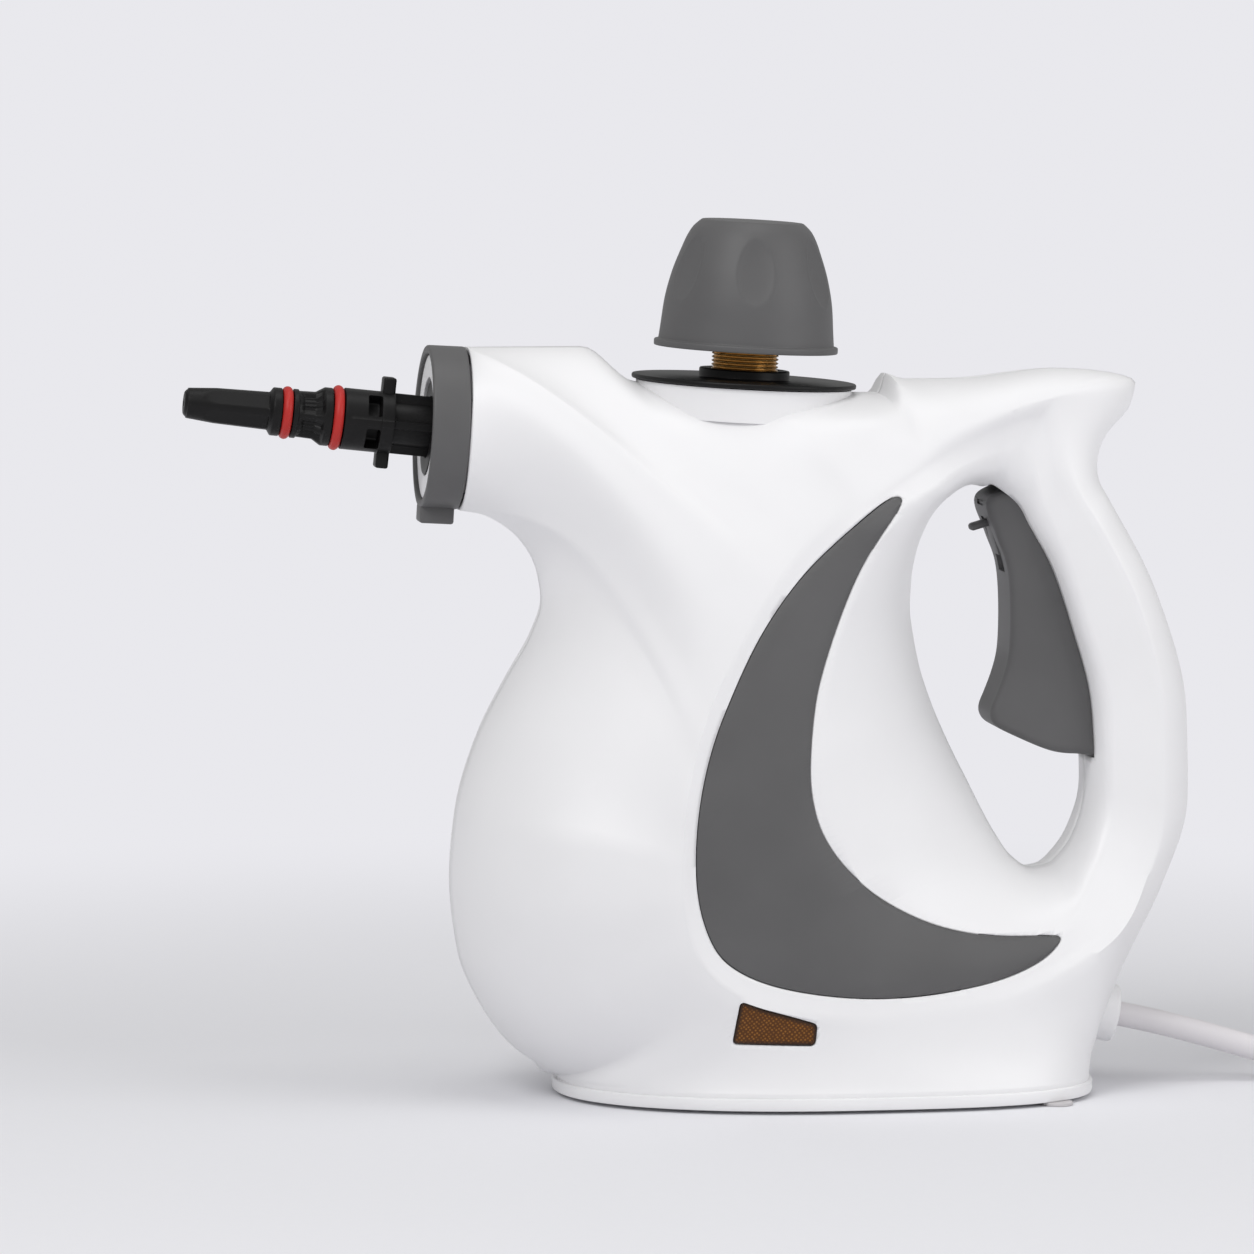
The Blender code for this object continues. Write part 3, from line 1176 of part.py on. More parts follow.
def cap():
    """Safety cap with its plug, gasket and relief valve."""
    lift = bpy.data.objects["cap_axis"]
    bottom = FUNNEL_THICKNESS + CAP_LIFT
    collar_top = FUNNEL_THICKNESS + COLLAR_HEIGHT
    seal_bottom = collar_top + CLEARANCE + CAP_TURNS_OPEN * CAP_THREAD_PITCH
    seal_top = seal_bottom + GASKET_THICKNESS
    core_bottom = seal_top + CLEARANCE
    pocket = PLUG_RADIUS + CLEARANCE
    pocket_top = core_bottom + PLUG_IN_CAP
    bell = [(share[1] * CAP_RADIUS, bottom + share[0] * CAP_HEIGHT) for share in CAP_PROFILE_SHARES]
    inside = [
        (radius - CAP_WALL, height - (CAP_WALL if i == 0 else 0))
        for i, (radius, height) in enumerate(bell[3:8])
    ]
    rim = bell[-1][0] - CAP_WALL
    profile = bell + [(rim, bottom)] + inside[::-1] + [
        (CAP_CORE_RADIUS, inside[0][1]), (CAP_CORE_RADIUS, core_bottom), (pocket, core_bottom),
        (pocket, pocket_top), (0, pocket_top),
    ]
    shell = turned("cap_shell", profile, GREY, lift, 30)
    combine(shell, dimple_tool(lift, bottom))
    turned(
        "cap_gasket",
        ((CAP_CORE_RADIUS, seal_top), (CAP_CORE_RADIUS, seal_bottom), (pocket, seal_bottom),
         (pocket, seal_top)),
        RUBBER, lift, 24, True,
    )
    plug_top, plug_bottom = pocket_top - CLEARANCE, -PLUG_BELOW
    bore_top = plug_top - PLUG_IN_CAP
    turned(
        "cap_plug",
        ((0, plug_top), (PLUG_RADIUS, plug_top), (PLUG_RADIUS, plug_bottom),
         (PLUG_BORE_RADIUS, plug_bottom), (PLUG_BORE_RADIUS, bore_top), (0, bore_top)),
        BRASS, lift, 24,
    )
    poppet_bottom = plug_bottom + CLEARANCE
    poppet_top = poppet_bottom + RELIEF_LENGTH
    turned(
        "relief_poppet",
        ((0, poppet_top), (RELIEF_RADIUS / 2, poppet_top), (RELIEF_RADIUS, poppet_top - RELIEF_RADIUS),
         (RELIEF_RADIUS, poppet_bottom), (0, poppet_bottom)),
        BRASS, lift, 12,
    )
    spring_bottom = poppet_top + CLEARANCE + RELIEF_TRAVEL
    helix("relief_spring", lift, RELIEF_RADIUS - 2 * SPRING_WIRE_RADIUS, spring_bottom,
          bore_top - CLEARANCE, 4, STEEL)


def helix(name, parent, radius, bottom, top, turns, paint):
    """Coil spring round its parent's axis."""
    per_turn = SPRING_POINTS_PER_TURN
    low, high = bottom + SPRING_WIRE_RADIUS, top - SPRING_WIRE_RADIUS
    points = [
        (radius * math.cos(math.tau * i / per_turn), radius * math.sin(math.tau * i / per_turn),
         low + (high - low) * i / (turns * per_turn))
        for i in range(turns * per_turn + 1)
    ]
    spring = tube(name, points, SPRING_WIRE_RADIUS, paint, 0)
    spring.parent = parent
    return spring


def dimple_tool(axis, bottom):
    """Shallow oval finger hollows round the bell."""
    half_height, half_width = DIMPLE_HEIGHT / 2, DIMPLE_WIDTH / 2
    height = bottom + DIMPLE_HEIGHT_SHARE * CAP_HEIGHT
    radius = DIMPLE_RADIUS_SHARE * CAP_RADIUS
    depth = 3 * DIMPLE_DEPTH
    grown = DIMPLE_TOOL_GROWTH
    shapes = []
    for number in range(DIMPLE_COUNT):
        turn = math.tau * number / DIMPLE_COUNT - math.pi / 2 + DIMPLE_TURN
        reach = radius - DIMPLE_DEPTH + depth

        def shape(bm, turn=turn, reach=reach):
            matrix = (
                Matrix.Rotation(turn, 4, "Z")
                @ Matrix.Translation((reach, 0, height))
                @ Matrix.Rotation(-DIMPLE_LEAN, 4, "Y")
                @ Matrix.Diagonal((depth, half_width * grown, half_height * grown, 1))
            )
            bmesh.ops.create_uvsphere(bm, u_segments=8, v_segments=6, radius=1, matrix=matrix)

        shapes.append(shape)
    return solid("dimple_tool", shapes, None, None, axis)


def valve():
    """Steam valve behind the nozzle, with its spring and stem."""
    axis = bpy.data.objects["nozzle_axis"]
    front = -VALVE_DEPTH
    rear = front - VALVE_LENGTH
    guide = STEM_RADIUS + CLEARANCE
    bore = STEAM_PIPE_RADIUS - STEAM_PIPE_WALL
    turned(
        "steam_valve_body",
        ((VALVE_RADIUS, front), (VALVE_RADIUS, rear), (guide, rear), (guide, rear + VALVE_END_WALL),
         (VALVE_CHAMBER_RADIUS, rear + VALVE_END_WALL), (VALVE_CHAMBER_RADIUS, front - VALVE_END_WALL),
         (bore, front - VALVE_END_WALL), (bore, front)),
        BRASS, axis, 20, True,
    )
    head_rear = rear + VALVE_END_WALL + CLEARANCE
    head_front = head_rear + STEM_HEAD_LENGTH
    turned(
        "valve_stem",
        ((0, head_front), (STEM_HEAD_RADIUS, head_front), (STEM_HEAD_RADIUS, head_rear),
         (STEM_RADIUS, head_rear), (STEM_RADIUS, rear - STEM_TAIL), (0, rear - STEM_TAIL)),
        STEEL, axis, 16,
    )
    helix("valve_spring", axis, STEM_HEAD_RADIUS - SPRING_WIRE_RADIUS,
          head_front + VALVE_STROKE + CLEARANCE, front - VALVE_END_WALL - CLEARANCE, 3, STEEL)
    depth, lead = VALVE_DEPTH + INLET_SHARE * VALVE_LENGTH, 2 * INLET_PIPE_RADIUS
    low = nozzle_point(depth, -(VALVE_RADIUS + CLEARANCE))
    landing = filler_point(-INLET_PLACE_SHARE * BOILER_RADIUS, boiler_shoulder() + CLEARANCE)
    start, end = low - NOZZLE_UP * lead, landing + filler_up() * lead
    pull = (start.z - end.z) / 2
    bends = bezier(start, start - NOZZLE_UP * pull, end + filler_up() * pull, end, 8)
    tube("inlet_pipe", [low, *bends, landing], INLET_PIPE_RADIUS, BRASS, 2)
    push_rod(rear)


def boiler_shoulder():
    """Height of the boiler cover's shoulder."""
    return -(FUNNEL_SPIGOT + CLEARANCE + NECK_LENGTH)


def filler_up():
    """Direction of the filler's axis."""
    return Matrix.Rotation(FILLER_TILT, 3, "Y") @ Vector((0, 0, 1))


def bezier(start, pull_start, pull_end, end, steps):
    """Points of a cubic curve, its first one included."""
    points = []
    for i in range(steps + 1):
        t = i / steps
        points.append(
            start * (1 - t) ** 3 + pull_start * 3 * t * (1 - t) ** 2 + pull_end * 3 * t**2 * (1 - t)
            + end * t**3
        )
    return points


def push_rod(valve_rear):
    """Wire from the trigger's arm to the valve's stem, stepped round the boiler's neck."""
    pivot = in_body(*PIVOT_SHARE)
    start = Vector((pivot.x - TRIGGER_ARM_HALF_WIDTH - CLEARANCE, 0, pivot.z + TRIGGER_ARM - ROD_RADIUS))
    end = nozzle_point(-valve_rear + STEM_TAIL + CLEARANCE)
    neck = filler_point(0, 0)
    lead = 2 * ROD_RADIUS
    passing = Vector((neck.x, ROD_SIDESTEP, (start.z + end.z) / 2))
    step = Vector((ROD_SIDESTEP, 0, 0))
    first = bezier(start - Vector((lead, 0, 0)), start - step, passing + step, passing, 8)
    tail = end - NOZZLE_AXIS * lead
    second = bezier(passing, passing - step, tail - NOZZLE_AXIS * ROD_SIDESTEP, tail, 8)
    tube("push_rod", [start] + first + second[1:] + [end], ROD_RADIUS, STEEL, 1)


def trigger():
    """Trigger with its pin, lock and spring."""
    axis = bpy.data.objects["trigger_axis"]
    pivot = in_body(*PIVOT_SHARE)
    body = slab("trigger", outline(TRIGGER_FRONT_SHARES + TRIGGER_REAR_SHARES), TRIGGER_HALF_WIDTH,
                GREY, 0.0, axis)
    arm = TRIGGER_ARM_HALF_WIDTH
    boss = solid(
        "trigger_boss_tool",
        [rod(TRIGGER_BOSS_RADIUS, 2 * TRIGGER_BOSS_HALF_WIDTH, (0, 0, 0), ALONG_Y, 20)],
        None, None, axis,
    )
    lever = solid(
        "trigger_arm_tool", [box((2 * arm, 2 * arm, TRIGGER_ARM), (0, 0, TRIGGER_ARM / 2))],
        None, None, axis,
    )
    hollow = slab("trigger_hollow_tool", trigger_hollow(), TRIGGER_HALF_WIDTH - TRIGGER_WALL, None,
                  0.0, axis)
    combine(body, hollow)
    combine(body, boss, "UNION")
    combine(body, lever, "UNION")
    hole = solid(
        "trigger_hole_tool",
        [rod(PIN_RADIUS + CLEARANCE, 4 * TRIGGER_HALF_WIDTH, (0, 0, 0), ALONG_Y, 16)], None, None, axis,
    )
    combine(body, hole)
    lock_axis, recess = trigger_lock(pivot)
    combine(body, recess)
    trigger_spring(axis)
    pin = solid("trigger_pin", [rod(PIN_RADIUS, 2 * PIN_HALF_LENGTH, (0, 0, 0), ALONG_Y, 16)], STEEL,
                pivot)
    shade(pin.data)


def trigger_lock(pivot):
    """Sliding lock in the trigger's face, and the tool that cuts its track."""
    top, _, bottom = (Vector(point) for point in outline(TRIGGER_FRONT_SHARES[:3]))
    face = top - bottom
    lean = math.atan2(face.x, face.y)
    middle = bottom + face * LOCK_PLACE_SHARE
    place = empty("lock_axis", (middle.x, 0, middle.y), lean)
    sunk = LOCK_THICKNESS - LOCK_PROUD
    peg = LOCK_PEG_LENGTH + LOCK_THICKNESS / 2
    outward = LOCK_PROUD + LOCK_PEG_LENGTH - peg / 2
    lock = solid(
        "trigger_lock",
        [box((LOCK_THICKNESS, LOCK_WIDTH, LOCK_LENGTH), (LOCK_THICKNESS / 2 - LOCK_PROUD, 0, 0))],
        GREY, None, place,
    )
    peg_box = box((peg, LOCK_WIDTH / 2, LOCK_PEG_THICKNESS), (-outward, 0, LOCK_PEG_RISE))
    combine(lock, solid("lock_peg_tool", [peg_box], None, None, place), "UNION")
    room = 2 * CLEARANCE
    track = (2 * (sunk + CLEARANCE), LOCK_WIDTH + room, LOCK_LENGTH + LOCK_TRAVEL + room)
    return place, solid("lock_track_tool", [box(track, (0, 0, -LOCK_TRAVEL / 2))], None, None, place)


def trigger_spring(axis):
    """Torsion spring round the pin, beside the trigger's boss, with one leg each way."""
    radius = PIN_RADIUS + 2 * CLEARANCE + SPRING_WIRE_RADIUS
    pitch, turns, per_turn = 2 * SPRING_WIRE_RADIUS + CLEARANCE, 4, 8
    start = TRIGGER_BOSS_HALF_WIDTH + CLEARANCE + SPRING_WIRE_RADIUS
    coil = [
        Vector((radius * math.sin(math.tau * i / per_turn), start + pitch * i / per_turn,
                radius * math.cos(math.tau * i / per_turn)))
        for i in range(turns * per_turn + 1)
    ]
    leg = Vector((-TRIGGER_SPRING_LEG, 0, 0))
    spring = tube("trigger_spring", [coil[0] + leg, *coil, coil[-1] - leg], SPRING_WIRE_RADIUS, STEEL, 0)
    spring.parent = axis


def trigger_hollow():
    """Side outline of the hollow inside the trigger."""
    front = [Vector(point) for point in outline(TRIGGER_FRONT_SHARES[1:])]
    rear = [Vector(point) for point in outline(TRIGGER_REAR_SHARES[:-1])]
    inset = []
    for point in front:
        inset.append((point.x + 2 * TRIGGER_WALL, point.y + TRIGGER_WALL))
    inset = inset[:5] + [inset[6]] + [inset[-4]]
    back = [(point.x + OVERRUN, point.y) for point in rear]
    return inset + [(back[0][0], inset[-1][1])] + back


def screws():
    """Screws that hold the right half on the left one, heads deep in the right half."""
    for number, share in enumerate(SCREW_PLACE_SHARES, 1):
        head_seat = SCREW_HEAD_SEAT + CLEARANCE
        top = head_seat + SCREW_HEAD_HEIGHT
        screw = turned(
            f"housing_screw_{number}",
            ((0, top), (SCREW_HEAD_RADIUS, top), (SCREW_HEAD_RADIUS, head_seat),
             (SCREW_RADIUS, head_seat), (SCREW_RADIUS, -SCREW_REACH), (0, -SCREW_REACH)),
            STEEL, None, 8, False, in_body(*share),
        )
        screw.rotation_euler = (-math.pi / 2, 0, 0)


def mains_entry():
    """Cord bush in the rear wall, clamp and terminals inside, and the cord."""
    entry = bpy.data.objects["cord_exit"]
    rounding = (BUSH_RADIUS - CORD_RADIUS) / 4
    bore = CORD_RADIUS + CLEARANCE
    turned(
        "cord_bush",
        ((BUSH_RADIUS - rounding, BUSH_PROUD), (BUSH_RADIUS, BUSH_PROUD - rounding),
         (BUSH_RADIUS, BUSH_PROUD - BUSH_LENGTH), (bore, BUSH_PROUD - BUSH_LENGTH), (bore, BUSH_PROUD)),
        WHITE, entry, 20, True,
    )
    held = Vector(CORD_ROUTE[2])
    slope = (Vector(CORD_ROUTE[3]) - Vector(CORD_ROUTE[1])).normalized()
    height = held.z + CORD_RADIUS + CLAMP_WALL - BODY_BOTTOM
    clamp = solid(
        "cord_clamp",
        [box((CLAMP_LENGTH, CLAMP_WIDTH, height), (held.x, 0, BODY_BOTTOM + height / 2))], GREY,
    )
    along = slope.to_track_quat("Z", "Y").to_matrix().to_4x4()
    tool = solid("clamp_bore_tool", [rod(bore + CLEARANCE, 2 * CLAMP_LENGTH, held, along, 16)], None)
    combine(clamp, tool)
    first = Vector(CORD_ROUTE[0])
    height = first.z + TERMINAL_WIDTH / 2 - BODY_BOTTOM
    solid(
        "terminal_block",
        [box((TERMINAL_LENGTH, TERMINAL_WIDTH, height),
             (first.x - CLEARANCE - TERMINAL_LENGTH / 2, 0, BODY_BOTTOM + height / 2))], WHITE,
    )
    tube("cord", CORD_ROUTE, CORD_RADIUS, CORD, 2)
    coil_and_plug()


def coil_and_plug():
    """The stored length in one piled spiral, and the plug that lies beside it."""
    step = 2 * CORD_RADIUS + COIL_SPARE
    outer = COIL_MEAN_RADIUS + COIL_TURNS_PER_LAYER * step / 2
    turns = COIL_LAYERS * COIL_TURNS_PER_LAYER + COIL_LAST_TURN
    count = round(turns * COIL_POINTS_PER_TURN)
    coil = []
    for i in range(count + 1):
        turn = i / COIL_POINTS_PER_TURN
        layer, part = divmod(min(turn, turns - COIL_LAST_TURN - CLEARANCE), COIL_TURNS_PER_LAYER)
        inward = part if layer % 2 == 0 else COIL_TURNS_PER_LAYER - part
        inward -= max(turn - (turns - COIL_LAST_TURN), 0)
        reversals = range(COIL_TURNS_PER_LAYER, COIL_LAYERS * COIL_TURNS_PER_LAYER, COIL_TURNS_PER_LAYER)
        climbed = sum(min(max(2 * (turn - place) + 0.5, 0), 1) for place in reversals)
        radius, angle = outer - step * inward, COIL_START + math.tau * turn
        coil.append(Vector((
            COIL_CENTRE[0] + radius * math.cos(angle), COIL_CENTRE[1] + radius * math.sin(angle),
            CORD_RADIUS + CLEARANCE + step * climbed,
        )))
    gap = min(
        (a - b).length
        for i, a in enumerate(coil)
        for b in coil[i + COIL_POINTS_PER_TURN // 2:]
    ) - 2 * CORD_RADIUS
    print(f"least gap of the coil to itself: {gap * 1000:.2f} mm")

    def heading(angle):
        return Vector((-math.sin(angle), math.cos(angle), 0))

    first, last = heading(COIL_START), heading(COIL_START + math.tau * turns)
    lead = 2 * CORD_RADIUS
    resting = PLUG_BODY_RADIUS + CLEARANCE
    low = coil[-1] + last * COIL_TAIL
    low.z = resting
    third = COIL_TAIL / 3
    tail = bezier(coil[-1], coil[-1] + last * third, low - last * third, low, 6)[1:]
    points = [coil[0] - first * lead, *coil, *tail, low + last * lead]
    tube("cord_coil", points, CORD_RADIUS, CORD, 1)
    plug_axis = empty("plug_axis", points[-1] + last * CLEARANCE)
    plug_axis.rotation_euler = last.to_track_quat("Z", "Y").to_euler()
    length = PLUG_TAIL_LENGTH + PLUG_BODY_LENGTH
    shoulder = PLUG_BODY_RADIUS - PLUG_TAIL_RADIUS / 2
    turned(
        "plug_body",
        ((0, length), (PLUG_BODY_RADIUS, length),
         (PLUG_BODY_RADIUS, PLUG_TAIL_LENGTH + PLUG_TAIL_RADIUS),
         (shoulder, PLUG_TAIL_LENGTH), (PLUG_TAIL_RADIUS, PLUG_TAIL_LENGTH - PLUG_TAIL_RADIUS / 2),
         (CORD_RADIUS + CLAMP_WALL / 2, 0), (0, 0)),
        CORD, plug_axis, 24,
    )
    for number, side in enumerate((-1, 1), 1):
        bottom = length + CLEARANCE
        turned(
            f"plug_pin_{number}",
            ((0, bottom + PLUG_PIN_LENGTH), (PLUG_PIN_RADIUS / 2, bottom + PLUG_PIN_LENGTH),
             (PLUG_PIN_RADIUS, bottom + PLUG_PIN_LENGTH - PLUG_PIN_RADIUS), (PLUG_PIN_RADIUS, bottom),
             (0, bottom)),
            STEEL, plug_axis, 12, False, (0, side * PLUG_PIN_SPACING / 2, 0),
        )


def main():
    """Builds every piece."""
    start_scene()
    empty("barrel_axis", RING_CENTRE, BARREL_TILT - math.pi / 2)
    empty("nozzle_axis", RING_CENTRE, NOZZLE_TILT - math.pi / 2)
    empty("filler_axis", in_body(*FILLER_SHARE), FILLER_TILT)
    empty("cap_axis", in_body(*FILLER_SHARE), FILLER_TILT)
    empty("trigger_axis", in_body(*PIVOT_SHARE))
    empty("cord_exit", in_body(*CORD_EXIT_SHARE), math.pi / 2 + CORD_SLOPE)
    bpy.context.view_layer.update()
    housing()
    base_and_feet()
    barrel_front()
    nozzle()
    funnel_and_boiler()
    cap()
    valve()
    trigger()
    screws()
    mains_entry()


main()
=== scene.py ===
"""Dressed scene of the hand-held steam cleaner: same frame and sizes as its solids, in metres."""

import json
import math

import bmesh
import bpy
import numpy as np
from mathutils import Matrix, Vector
from mathutils.bvhtree import BVHTree


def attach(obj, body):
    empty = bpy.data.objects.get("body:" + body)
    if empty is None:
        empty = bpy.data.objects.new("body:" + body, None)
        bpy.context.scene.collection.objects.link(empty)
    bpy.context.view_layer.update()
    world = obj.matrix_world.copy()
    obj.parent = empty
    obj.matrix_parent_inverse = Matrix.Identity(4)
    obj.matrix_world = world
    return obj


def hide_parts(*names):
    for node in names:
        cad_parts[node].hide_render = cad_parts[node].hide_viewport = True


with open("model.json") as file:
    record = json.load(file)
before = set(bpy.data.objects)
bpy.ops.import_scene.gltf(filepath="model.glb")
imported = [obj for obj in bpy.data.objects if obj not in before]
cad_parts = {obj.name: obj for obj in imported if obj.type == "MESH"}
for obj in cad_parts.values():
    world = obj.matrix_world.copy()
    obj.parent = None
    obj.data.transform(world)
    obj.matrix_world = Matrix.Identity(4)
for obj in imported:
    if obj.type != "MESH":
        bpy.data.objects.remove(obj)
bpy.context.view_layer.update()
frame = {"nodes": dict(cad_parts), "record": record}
scene = bpy.context.scene

# Body: side-view outlines are shares of its length and height, widths are shares of its half width
BELLY_FRONT_X = -0.0642
BODY_LENGTH = 0.1991
BODY_HEIGHT = 0.1970
BODY_HALF_WIDTH = 0.0560
WALL = 0.0024
CLEARANCE = 0.0003
OVERRUN = 0.0020

# Foot of the body
BASE_HALF_WIDTH = 0.0500
BASE_THICKNESS = 0.0030
BASE_LIP = 0.0008
FOOT_HEIGHT = 0.0010
SKIRT_HEIGHT = 0.0024
FOOT_RADIUS = 0.0055
BASE_FRONT_SHARE = 0.144
BASE_REAR_SHARE = 0.854
BASE_MIDDLE_SHARE = 0.504
BASE_FRONT_ROUNDNESS = 2.2
BASE_REAR_ROUNDNESS = 3.2
FOOT_PLACE_SHARES = ((0.36, 0.66), (0.785, 0.72))

# Barrel and what closes its front; depths run back from the ring's front face
BARREL_RADIUS = 0.0215
BARREL_TILT = math.radians(3.2)
NOZZLE_TILT = math.radians(6.2)
RING_CENTRE_SHARE = (-0.034, 0.892)
RING_LENGTH = 0.0100
RING_THICKNESS = 0.0021
RING_ROUNDING = 0.0008
TAB_LENGTH = 0.0090
TAB_WIDTH = 0.0090
TAB_DROP = 0.0038
FACE_DEPTH = 0.0010
FACE_THICKNESS = 0.0020
FACE_BORE_RADIUS = 0.0129
FACE_SPIGOT = 0.0050
FACE_SPIGOT_PLAY = 0.0020
SOCKET_LENGTH = 0.0120
SOCKET_FLANGE = 0.0017
SOCKET_PLAY = 0.0008
SOCKET_FLANGE_THICKNESS = 0.0020

# Nozzle
NOZZLE_REACH = 0.0636
NOZZLE_TAIL = 0.0060
NOZZLE_RADIUS = 0.0081
NOZZLE_BORE_RADIUS = 0.0034
JET_RADIUS = 0.0009
LUG_SPAN = 0.0240
LUG_WIDTH = 0.0062
O_RING_RADIUS = 0.00135
O_RING_PROUD = 0.0005
STEAM_PIPE_RADIUS = 0.0030
STEAM_PIPE_WALL = 0.0008

# Filler: heights run along its tilted axis from the underside of the funnel's disc
FILLER_SHARE = (0.396, 0.946)
FILLER_TILT = math.radians(3.2)
FUNNEL_RADIUS = 0.0298
FUNNEL_THICKNESS = 0.0013
COLLAR_RADIUS = 0.0120
COLLAR_HEIGHT = 0.0025
FUNNEL_SPIGOT = 0.0027
DECK_RADIUS = 0.0286
DECK_SKIRT = 0.0090

# Cap
CAP_RADIUS = 0.0244
CAP_HEIGHT = 0.0340
CAP_WALL = 0.0022
CAP_LIFT = 0.0077
CAP_CORE_RADIUS = 0.0115
CAP_THREAD_PITCH = 0.0015
CAP_TURNS_OPEN = 4.5
DIMPLE_COUNT = 6
DIMPLE_WIDTH = 0.0106
DIMPLE_HEIGHT = 0.0175
DIMPLE_DEPTH = 0.0012
DIMPLE_TURN = math.radians(-4.5)
PLUG_RADIUS = 0.0089
PLUG_BELOW = 0.0060
PLUG_IN_CAP = 0.0050
PLUG_BORE_RADIUS = 0.0042
GASKET_THICKNESS = 0.0025

# Steam valve, on the barrel's axis
VALVE_DEPTH = 0.0240

# Trigger
TRIGGER_HALF_WIDTH = 0.0107
LOCK_LENGTH = 0.0150
LOCK_WIDTH = 0.0080
LOCK_THICKNESS = 0.0014
LOCK_TRAVEL = 0.0044
LOCK_PEG_LENGTH = 0.0050
LOCK_PEG_THICKNESS = 0.0020
LOCK_PEG_RISE = 0.0015
LOCK_PROUD = 0.0006
LOCK_PLACE_SHARE = 0.52

# Screws that join the housing halves
SCREW_HEAD_RADIUS = 0.0030
SCREW_HEAD_SEAT = 0.0080
SCREW_PLACE_SHARES = (
    (0.09, 0.178), (0.802, 0.178), (0.927, 0.284), (0.802, 0.902), (0.095, 0.792), (0.633, 0.909),
)

# Mains entry and cord; the route's points are listed one by one, from the terminals to the coil
CORD_EXIT_SHARE = (0.8705, 0.0888)
CORD_SLOPE = math.radians(11.4)
BUSH_RADIUS = 0.00775
BUSH_PROUD = 0.0065
BUSH_LENGTH = 0.0135
CORD_RADIUS = 0.0033
CORD_ROUTE = (
    (0.0825, 0, 0.0240), (0.0880, 0, 0.0238), (0.0935, 0, 0.0231), (0.0990, 0, 0.0221),
    (0.1045, 0, 0.0210), (0.1095, 0, 0.0200), (0.1145, 0, 0.0190), (0.1200, 0, 0.0178),
    (0.1265, 0, 0.0163), (0.1330, 0, 0.0146), (0.1398, 0, 0.0127), (0.1474, -0.0006, 0.0105),
    (0.1551, -0.0025, 0.0084),
    (0.1623, -0.0055, 0.0066), (0.1690, -0.0096, 0.0053), (0.1750, -0.0146, 0.0044),
    (0.1802, -0.0198, 0.0038), (0.1853, -0.0249, 0.0036),
)
COIL_CENTRE = (0.2240, 0.0040)
COIL_LAYERS = 4
COIL_TURNS_PER_LAYER = 3
COIL_MEAN_RADIUS = 0.0370
COIL_SPARE = 0.0006
COIL_POINTS_PER_TURN = 16
COIL_START = math.radians(-135)
COIL_LAST_TURN = 0.25
COIL_TAIL = 0.0300
CLAMP_WALL = 0.0030
PLUG_BODY_RADIUS = 0.0185
PLUG_BODY_LENGTH = 0.0300
PLUG_TAIL_RADIUS = 0.0065
PLUG_TAIL_LENGTH = 0.0220
PLUG_PIN_RADIUS = 0.0024
PLUG_PIN_LENGTH = 0.0190
PLUG_PIN_SPACING = 0.0190

# The dial of stations that runs once round the hand opening
DIAL = 24
CREASE_STATIONS = (
    0, 1, 1.5, 2, 3, 3.5, 3.8, 4, 5.5, 5.8, 6.2, 6.6, 7, 10, 11.4, 14, 15.9, 19.1, 21.3, 23.5,
)
BARREL_STATIONS = (7, 10)
BASE_STATIONS = (15.9, 19.1)

# Side silhouette: station, x share, z share
SILHOUETTE_SHARES = (
    (0, 0.870, 0.836), (0.5, 0.882, 0.873), (1, 0.918, 0.907), (1.5, 0.927, 0.942), (2, 0.894, 0.956),
    (2.5, 0.812, 0.963), (3, 0.689, 0.950), (3.5, 0.614, 0.950), (3.8, 0.587, 0.958), (4, 0.577, 0.931),
    (4.5, 0.503, 0.934), (5, 0.394, 0.939), (5.5, 0.284, 0.944), (5.8, 0.242, 0.952),
    (6.2, 0.177, 0.998), (6.6, 0.100, 0.998),
    (10.4, 0.042, 0.774), (10.8, 0.089, 0.745), (11.2, 0.117, 0.698), (11.6, 0.123, 0.655),
    (12, 0.109, 0.610), (12.5, 0.075, 0.550), (13, 0.035, 0.470), (13.5, 0.008, 0.376),
    (14, 0.000, 0.282), (14.5, 0.010, 0.188), (15, 0.041, 0.112), (15.5, 0.095, 0.045),
    (19.5, 0.868, 0.055), (19.8, 0.903, 0.137), (20.4, 0.959, 0.259), (21, 0.998, 0.382),
    (21.6, 0.995, 0.506), (22.3, 0.951, 0.666), (23, 0.890, 0.783), (23.5, 0.873, 0.815),
)

